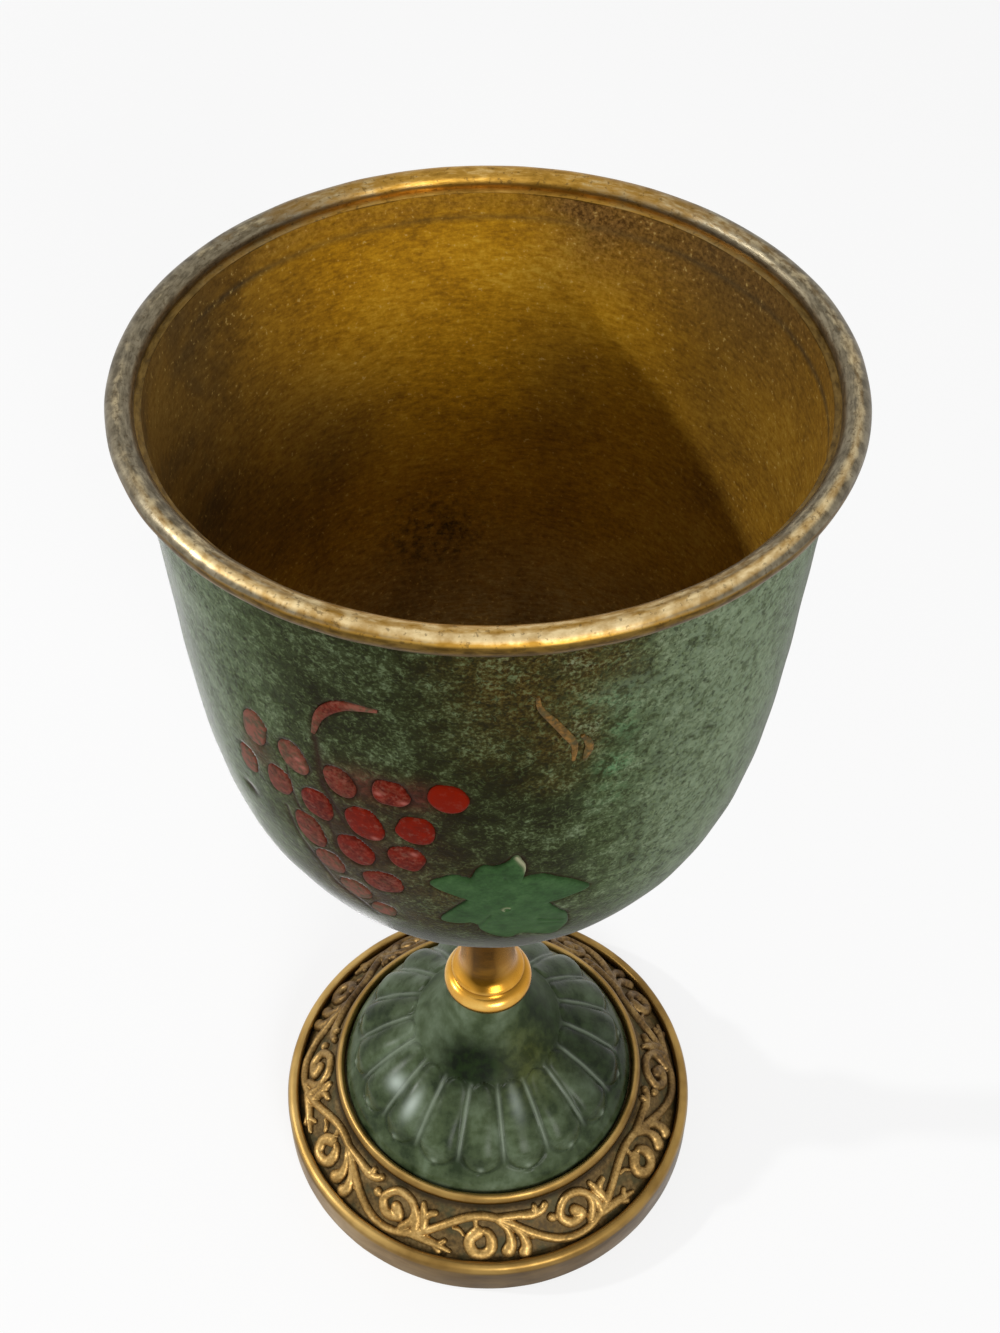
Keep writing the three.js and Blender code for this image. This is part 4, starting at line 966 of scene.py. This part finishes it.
def petals(run, radius, turn):
    """Lift of the dome's face, how much each point lies in a groove, which is painted as shade, and how much on
    the ridges between petals and the petal tips, which is painted as highlight.
    """
    pitch = math.tau / PETAL_COUNT
    off = np.abs(((turn - PETAL_SHIFT) / pitch) % 1 - 0.5) * pitch * radius
    room = pitch / 2 * radius
    low = unit((run - PETAL_START) / 3.4)
    high = unit((PETAL_END - run) / 1.8)
    half = (room - 0.2) * np.sqrt(1 - (1 - low) ** 2) * np.sqrt(1 - (1 - high) ** 2)
    inset = half - off
    within = unit(inset / np.maximum(half, 1e-3))
    fade = np.clip((PETAL_END - run) / 9, 0.45, 1) * unit((PETAL_END + 0.4 - run) / 0.8)
    groove = bell(inset, 0, 0.5) * (run > PETAL_START - 0.4) * fade
    between = bell(room - off, 0, 0.3) * unit((run - 5) / 2.5) * unit((PETAL_END - run) / 2)
    tip = np.exp(-(off**2 + (run - PETAL_START - 0.7) ** 2) / 0.2)
    swell = unit((run - PETAL_START) / 3) * fade
    lift = (1.05 * (1 - (1 - within) ** 2.4) * swell - 0.16 * groove + 0.4 * between + 0.24 * tip
            - 0.5 * fade * unit(run / 5)) * unit(run / 0.8)
    return lift, groove, np.maximum(between * 0.7, 0.8 * tip)


def dome():
    columns = PETAL_COUNT * 30
    turns = full_turn(columns)
    smooth = PETAL_END + 0.6
    runs = np.concatenate([np.linspace(0, smooth, 116), np.linspace(smooth, dome_run[-1], 24)[1:]])
    at = np.column_stack([np.interp(runs, dome_run, column) for column in dome_line.T])
    along = np.gradient(at, runs, axis=0)
    out = np.column_stack([along[:, 1], -along[:, 0]]) / np.linalg.norm(along, axis=1)[:, None]
    turn, run = np.meshgrid(turns, runs)
    lift, groove, ridge_highlight = petals(run, at[:, :1], turn)
    outer = around(at[:, :1] + out[:, :1] * lift, turn, at[:, 1:] + out[:, 1:] * lift)
    crown = DOME_TOP - DOME_CROWN
    wall = [at[i] - out[i] * DOME_WALL for i in range(len(runs) - 14, 6, -8)]
    inner = np.array([(BORE_RADIUS, DOME_TOP), (BORE_RADIUS, crown), (5.0, crown),
                      *(point for point in wall if point[1] < crown), (DOME_RADIUS - DOME_WALL, SEAT_HEIGHT)])
    verts = np.vstack([outer, spun(*inner.T, turns)])
    faces = ring_faces(len(runs) + len(inner), columns, looped=True)
    run = run.ravel()
    flat = np.column_stack([wrap(turn.ravel()) * 10, run])
    # Painted shade along the seam with the bead is added to the grooves
    painted = {"groove": np.maximum(groove.ravel(), bell(run, 0, 0.6)), "ridge_highlight": ridge_highlight.ravel(),
               # Darker near the top at the front, with painted shade down the right side
               "core_and_shade": unit(spots(flat, DOME_CORE) + 0.75 * bell(flat[:, 0], 14, 5.5)),
               "olive": spots(flat, DOME_OLIVE), "pale_and_highlight": unit(spots(flat, *DOME_HIGHLIGHTS)),
               "flank": unit((run - 17) / 1.5)}
    hidden = np.zeros(len(verts) - len(outer))
    fields = {key: np.append(value, hidden) for key, value in painted.items()}
    dress(make_object("dome_petals", verts, faces, foot_patina, fields), "foot_dome")


def band_point(along, down, height):
    """Points on the sloping band: along it, down it and proud of it."""
    radius = BAND_INNER + BAND_SLOPE[0] * down - BAND_SLOPE[1] * height
    return around(radius, along / BAND_MIDDLE, BAND_TOP + BAND_SLOPE[1] * down + BAND_SLOPE[0] * height)


def scroll():
    """Raised scroll as a height over one wave of the band, cut at its edge and repeated."""
    columns, rows = 200, 60
    along = np.arange(columns) * WAVE_LENGTH / columns
    down = np.linspace(0.15, BAND_LENGTH - 0.1, rows)
    grid = np.stack(np.meshgrid(along, down, indexing="ij"), axis=-1).reshape(-1, 2)
    vine_x = np.linspace(-3, WAVE_LENGTH + 3, 300)
    vine = np.column_stack([vine_x, VINE_MIDDLE - VINE_SWING * np.cos(math.tau * vine_x / WAVE_LENGTH)])
    pieces = [(vine, np.full(len(vine), VINE_HALF))]
    for line, widths in SCROLL_PIECES:
        dense = resample(spline(line, 300), 90)
        half = stretch(widths, len(dense)) / 2
        pieces += [(dense + (shift, 0), half) for shift in (-WAVE_LENGTH, 0, WAVE_LENGTH)]
    share = np.full(len(grid), 9.0)
    height = np.zeros(len(grid))
    snapped = grid.copy()
    for line, half in pieces:
        ratio = np.hypot(grid[:, :1] - line[:, 0], grid[:, 1:] - line[:, 1]) / half
        best = ratio.argmin(axis=1)
        value = ratio[np.arange(len(grid)), best]
        rise = np.sqrt(unit(1 - value**2)) * np.clip(half[best] / 0.55, 0.75, 1.1)
        height = np.maximum(height, rise)
        closer = value < share
        share[closer] = value[closer]
        middle = line[best[closer]]
        snapped[closer] = middle + (grid[closer] - middle) / value[closer][:, None]
    edge = share >= 1
    snapped[~edge] = grid[~edge]

    def index(i, j):
        return i % columns * rows + j

    cells = set()
    for i in range(columns):
        for j in range(rows - 1):
            corners = share[[index(i, j), index(i + 1, j), index(i + 1, j + 1), index(i, j + 1)]]
            if (corners < 1).any() and (corners < 1.6).all():
                cells.update((wave * columns + i, j) for wave in range(WAVE_COUNT))
    verts, faces, rises, used = [], [], [], {}
    total = columns * WAVE_COUNT

    def vertex(i, j, low):
        key = (i % total, j, low)
        if key not in used:
            wave, local = divmod(key[0], columns)
            k = index(local, j)
            used[key] = len(verts)
            lift = -0.08 if low else height[k] * SCROLL_HEIGHT
            verts.append((snapped[k][0] + wave * WAVE_LENGTH + WAVE_SHIFT, snapped[k][1], lift))
            rises.append(0 if low else height[k])
        return used[key]

    for i, j in sorted(cells):
        ring = [(i, j), (i + 1, j), (i + 1, j + 1), (i, j + 1)]
        faces.append([vertex(*p, False) for p in ring])
        faces.append([vertex(*p, True) for p in reversed(ring)])
        neighbours = [(i, j - 1), ((i + 1) % total, j), (i, j + 1), ((i - 1) % total, j)]
        for side, other in enumerate(neighbours):
            if other not in cells:
                a, b = ring[side], ring[(side + 1) % 4]
                faces.append([vertex(*b, False), vertex(*a, False), vertex(*a, True), vertex(*b, True)])
    along, down, lift = np.array(verts).T
    uneven = 0.05 * ripple(np.column_stack([along, down, down * 0]), 2.5, 9)
    points = band_point(along, down, np.where(lift > 0, lift * (1 + uneven), lift) + 0.02)
    turn = np.degrees(np.arctan2(points[:, 0], -points[:, 1]))
    # Painted shade from 40 degrees round on the right and from 75 degrees on the left
    fields = {"height": rises, "side_shade": unit((turn - 40) / 50) + unit((-turn - 75) / 45)}
    relief = face_outwards(make_object("scroll_relief", points, faces, scroll_gold, fields, 65))
    dress(relief, "vine_scroll")


def foot():
    bead_steps = 18
    bead = arc((BEAD_MIDDLE, SEAT_HEIGHT), (BEAD_HALF, BEAD_HEIGHT), 0, 180, bead_steps)
    place = np.linspace(0, 180, bead_steps + 1)
    steps = 320
    # Painted highlight over the top of the bead, stronger on the left; darker at its feet
    rubbed = 0.65 + 0.6 * bell(full_turn(steps), math.radians(285), 0.6)
    fields = {"rubbed_and_highlight": bell(place, 105, 46)[:, None] * rubbed, "grey": 0 * place,
              "hollows_and_shade": unit(np.abs(place - 90) / 20 - 3.2)}
    dress(turned("bead_ring", bead, foot_brass, steps, 0.02, 11, fields), "dome_bead")
    slope_out, slope_down = BAND_SLOPE
    outer = BAND_INNER + BAND_RUN
    low = BAND_TOP - BAND_DROP
    under_inner = (BAND_INNER + slope_down * PLATE_THICKNESS, BAND_TOP - slope_out * PLATE_THICKNESS)
    under_outer = (outer + slope_down * PLATE_THICKNESS, low - slope_out * PLATE_THICKNESS)
    flange = DOME_RADIUS - DOME_WALL - 0.2
    margin = 0.7
    edge_in = (BAND_INNER + slope_out * margin, BAND_TOP + slope_down * margin)
    edge_out = (outer - slope_out * margin, low - slope_down * margin)
    plate = [
        (flange, SEAT_HEIGHT - PLATE_THICKNESS), under_inner, under_outer, (under_outer[0], LEDGE_HEIGHT),
        (outer, LEDGE_HEIGHT), (outer, low), edge_out, edge_in, (BAND_INNER, BAND_TOP),
        (BAND_INNER, SEAT_HEIGHT), (flange, SEAT_HEIGHT),
    ]
    shade = {"shade": [0, 0, 0, 0, 1, 1, 0.15, 0.15, 1, 1, 0]}
    dress(turned("band_ground", plate, sunk_ground, steps, fields=shade), "border_plate")
    inside = FOOT_RADIUS - FOOT_RIM_WALL
    lip = FOOT_RADIUS - FOOT_RIM_LIP
    top = FOOT_RIM_HEIGHT
    section = soften([
        (inside, 0), (FOOT_RADIUS - 0.35, 0), (FOOT_RADIUS, 0.7), (FOOT_RADIUS, top - 1.2),
        (FOOT_RADIUS - 0.3, top - 0.35), (FOOT_RADIUS - 0.9, top), (lip + 0.3, top - 0.05),
        (lip, top - 0.45), (lip, LEDGE_HEIGHT), (inside, LEDGE_HEIGHT),
    ], 0.3)
    z = section[:, 1:]
    ring_steps = 360
    left = unit(-np.sin(full_turn(ring_steps)))
    # Painted highlight along the top edge, strongest on the left; painted dark reflection down the outer wall,
    # least on the left
    fields = {"rubbed_and_highlight": unit((z - top + 1.0) / 0.6) * (0.1 + 0.9 * left), "grey": 0 * z,
              "hollows_and_shade": unit((top - 0.7 - z) / 0.8) * (0.8 - 0.75 * left)}
    dress(turned("foot_ring", section, foot_brass, ring_steps, 0.02, 12, fields), "foot_rim")


bowl_skin()
bowl_inside()
rim()
decoration()
stem()
dome()
scroll()
foot()
for hidden_node, hidden_look in (("bowl_boss", knop_brass), ("tie_stud", plain_steel),
                                 ("foot_washer", plain_steel), ("foot_nut", plain_steel)):
    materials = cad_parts[hidden_node].data.materials
    materials.clear()
    materials.append(hidden_look)


# Camera, light and floor

def camera():
    data = bpy.data.cameras.new("camera")
    data.sensor_width = SENSOR_WIDTH
    data.lens = FOCAL_LENGTH / PHOTO_HEIGHT * SENSOR_WIDTH
    data.shift_x = CAMERA_SHIFT / PHOTO_HEIGHT
    data.clip_start = 0.01
    obj = bpy.data.objects.new("camera", data)
    obj.location = (0, -0.1365, 0.2531)
    obj.rotation_euler = (math.radians(90 - CAMERA_TILT), 0, 0)
    bpy.context.scene.collection.objects.link(obj)
    bpy.context.scene.camera = obj


def lamp(name, place, target, size, power):
    """Round lamp at a place, turned to a target."""
    data = bpy.data.lights.new(name, "AREA")
    data.shape = "DISK"
    data.size = size
    data.energy = power
    obj = bpy.data.objects.new(name, data)
    obj.location = place
    x, y, z = (b - a for a, b in zip(place, target))
    obj.rotation_euler = (math.atan2(math.hypot(x, y), -z), 0, math.atan2(y, x) + 1.5 * math.pi)
    bpy.context.scene.collection.objects.link(obj)


def white_for_eye(tree, strength, ambient):
    """Light Path factor: strength for what the camera and gloss see, and ambient for the rest."""
    path = tree.nodes.new("ShaderNodeLightPath")
    seen = path.outputs["Is Camera Ray"]
    for other in ("Is Glossy Ray", "Is Transmission Ray"):
        join = tree.nodes.new("ShaderNodeMath")
        join.operation = "MAXIMUM"
        tree.links.new(seen, join.inputs[0])
        tree.links.new(path.outputs[other], join.inputs[1])
        seen = join.outputs[0]
    span = tree.nodes.new("ShaderNodeMapRange")
    tree.links.new(seen, span.inputs[0])
    span.inputs[3].default_value = ambient
    span.inputs[4].default_value = strength
    return span.outputs[0]


def studio():
    scene = bpy.context.scene
    scene.view_settings.view_transform = "Standard"
    world = bpy.data.worlds.new("studio")
    scene.world = world
    world.use_nodes = True
    background = world.node_tree.nodes["Background"]
    background.inputs["Color"].default_value = (1, 1, 1, 1)
    world.node_tree.links.new(white_for_eye(world.node_tree, 1.0, 0.38), background.inputs["Strength"])
    lamp("key", (-0.8, 0.03, 0.565), (0, 0, 0.12), 0.045, 3.6)
    lamp("fill", (0.3, -0.82, 0.44), (0, 0, 0.1), 0.4, 4.6)
    material = bpy.data.materials.new("floor")
    material.use_nodes = True
    tree = material.node_tree
    inputs = tree.nodes["Principled BSDF"].inputs
    inputs["Base Color"].default_value = (0.22, 0.22, 0.22, 1)
    inputs["Roughness"].default_value = 0.9
    inputs["Specular IOR Level"].default_value = 0.1
    inputs["Emission Color"].default_value = (1, 1, 1, 1)
    tree.links.new(white_for_eye(tree, 0.79, 0.0), inputs["Emission Strength"])
    mesh = bpy.data.meshes.new("floor")
    reach = 2.5
    mesh.from_pydata([(-reach, -reach, 0), (reach, -reach, 0), (reach, reach, 0), (-reach, reach, 0)], [],
                     [(0, 1, 2, 3)])
    mesh.materials.append(material)
    floor = bpy.data.objects.new("floor", mesh)
    scene.collection.objects.link(floor)


camera()
studio()
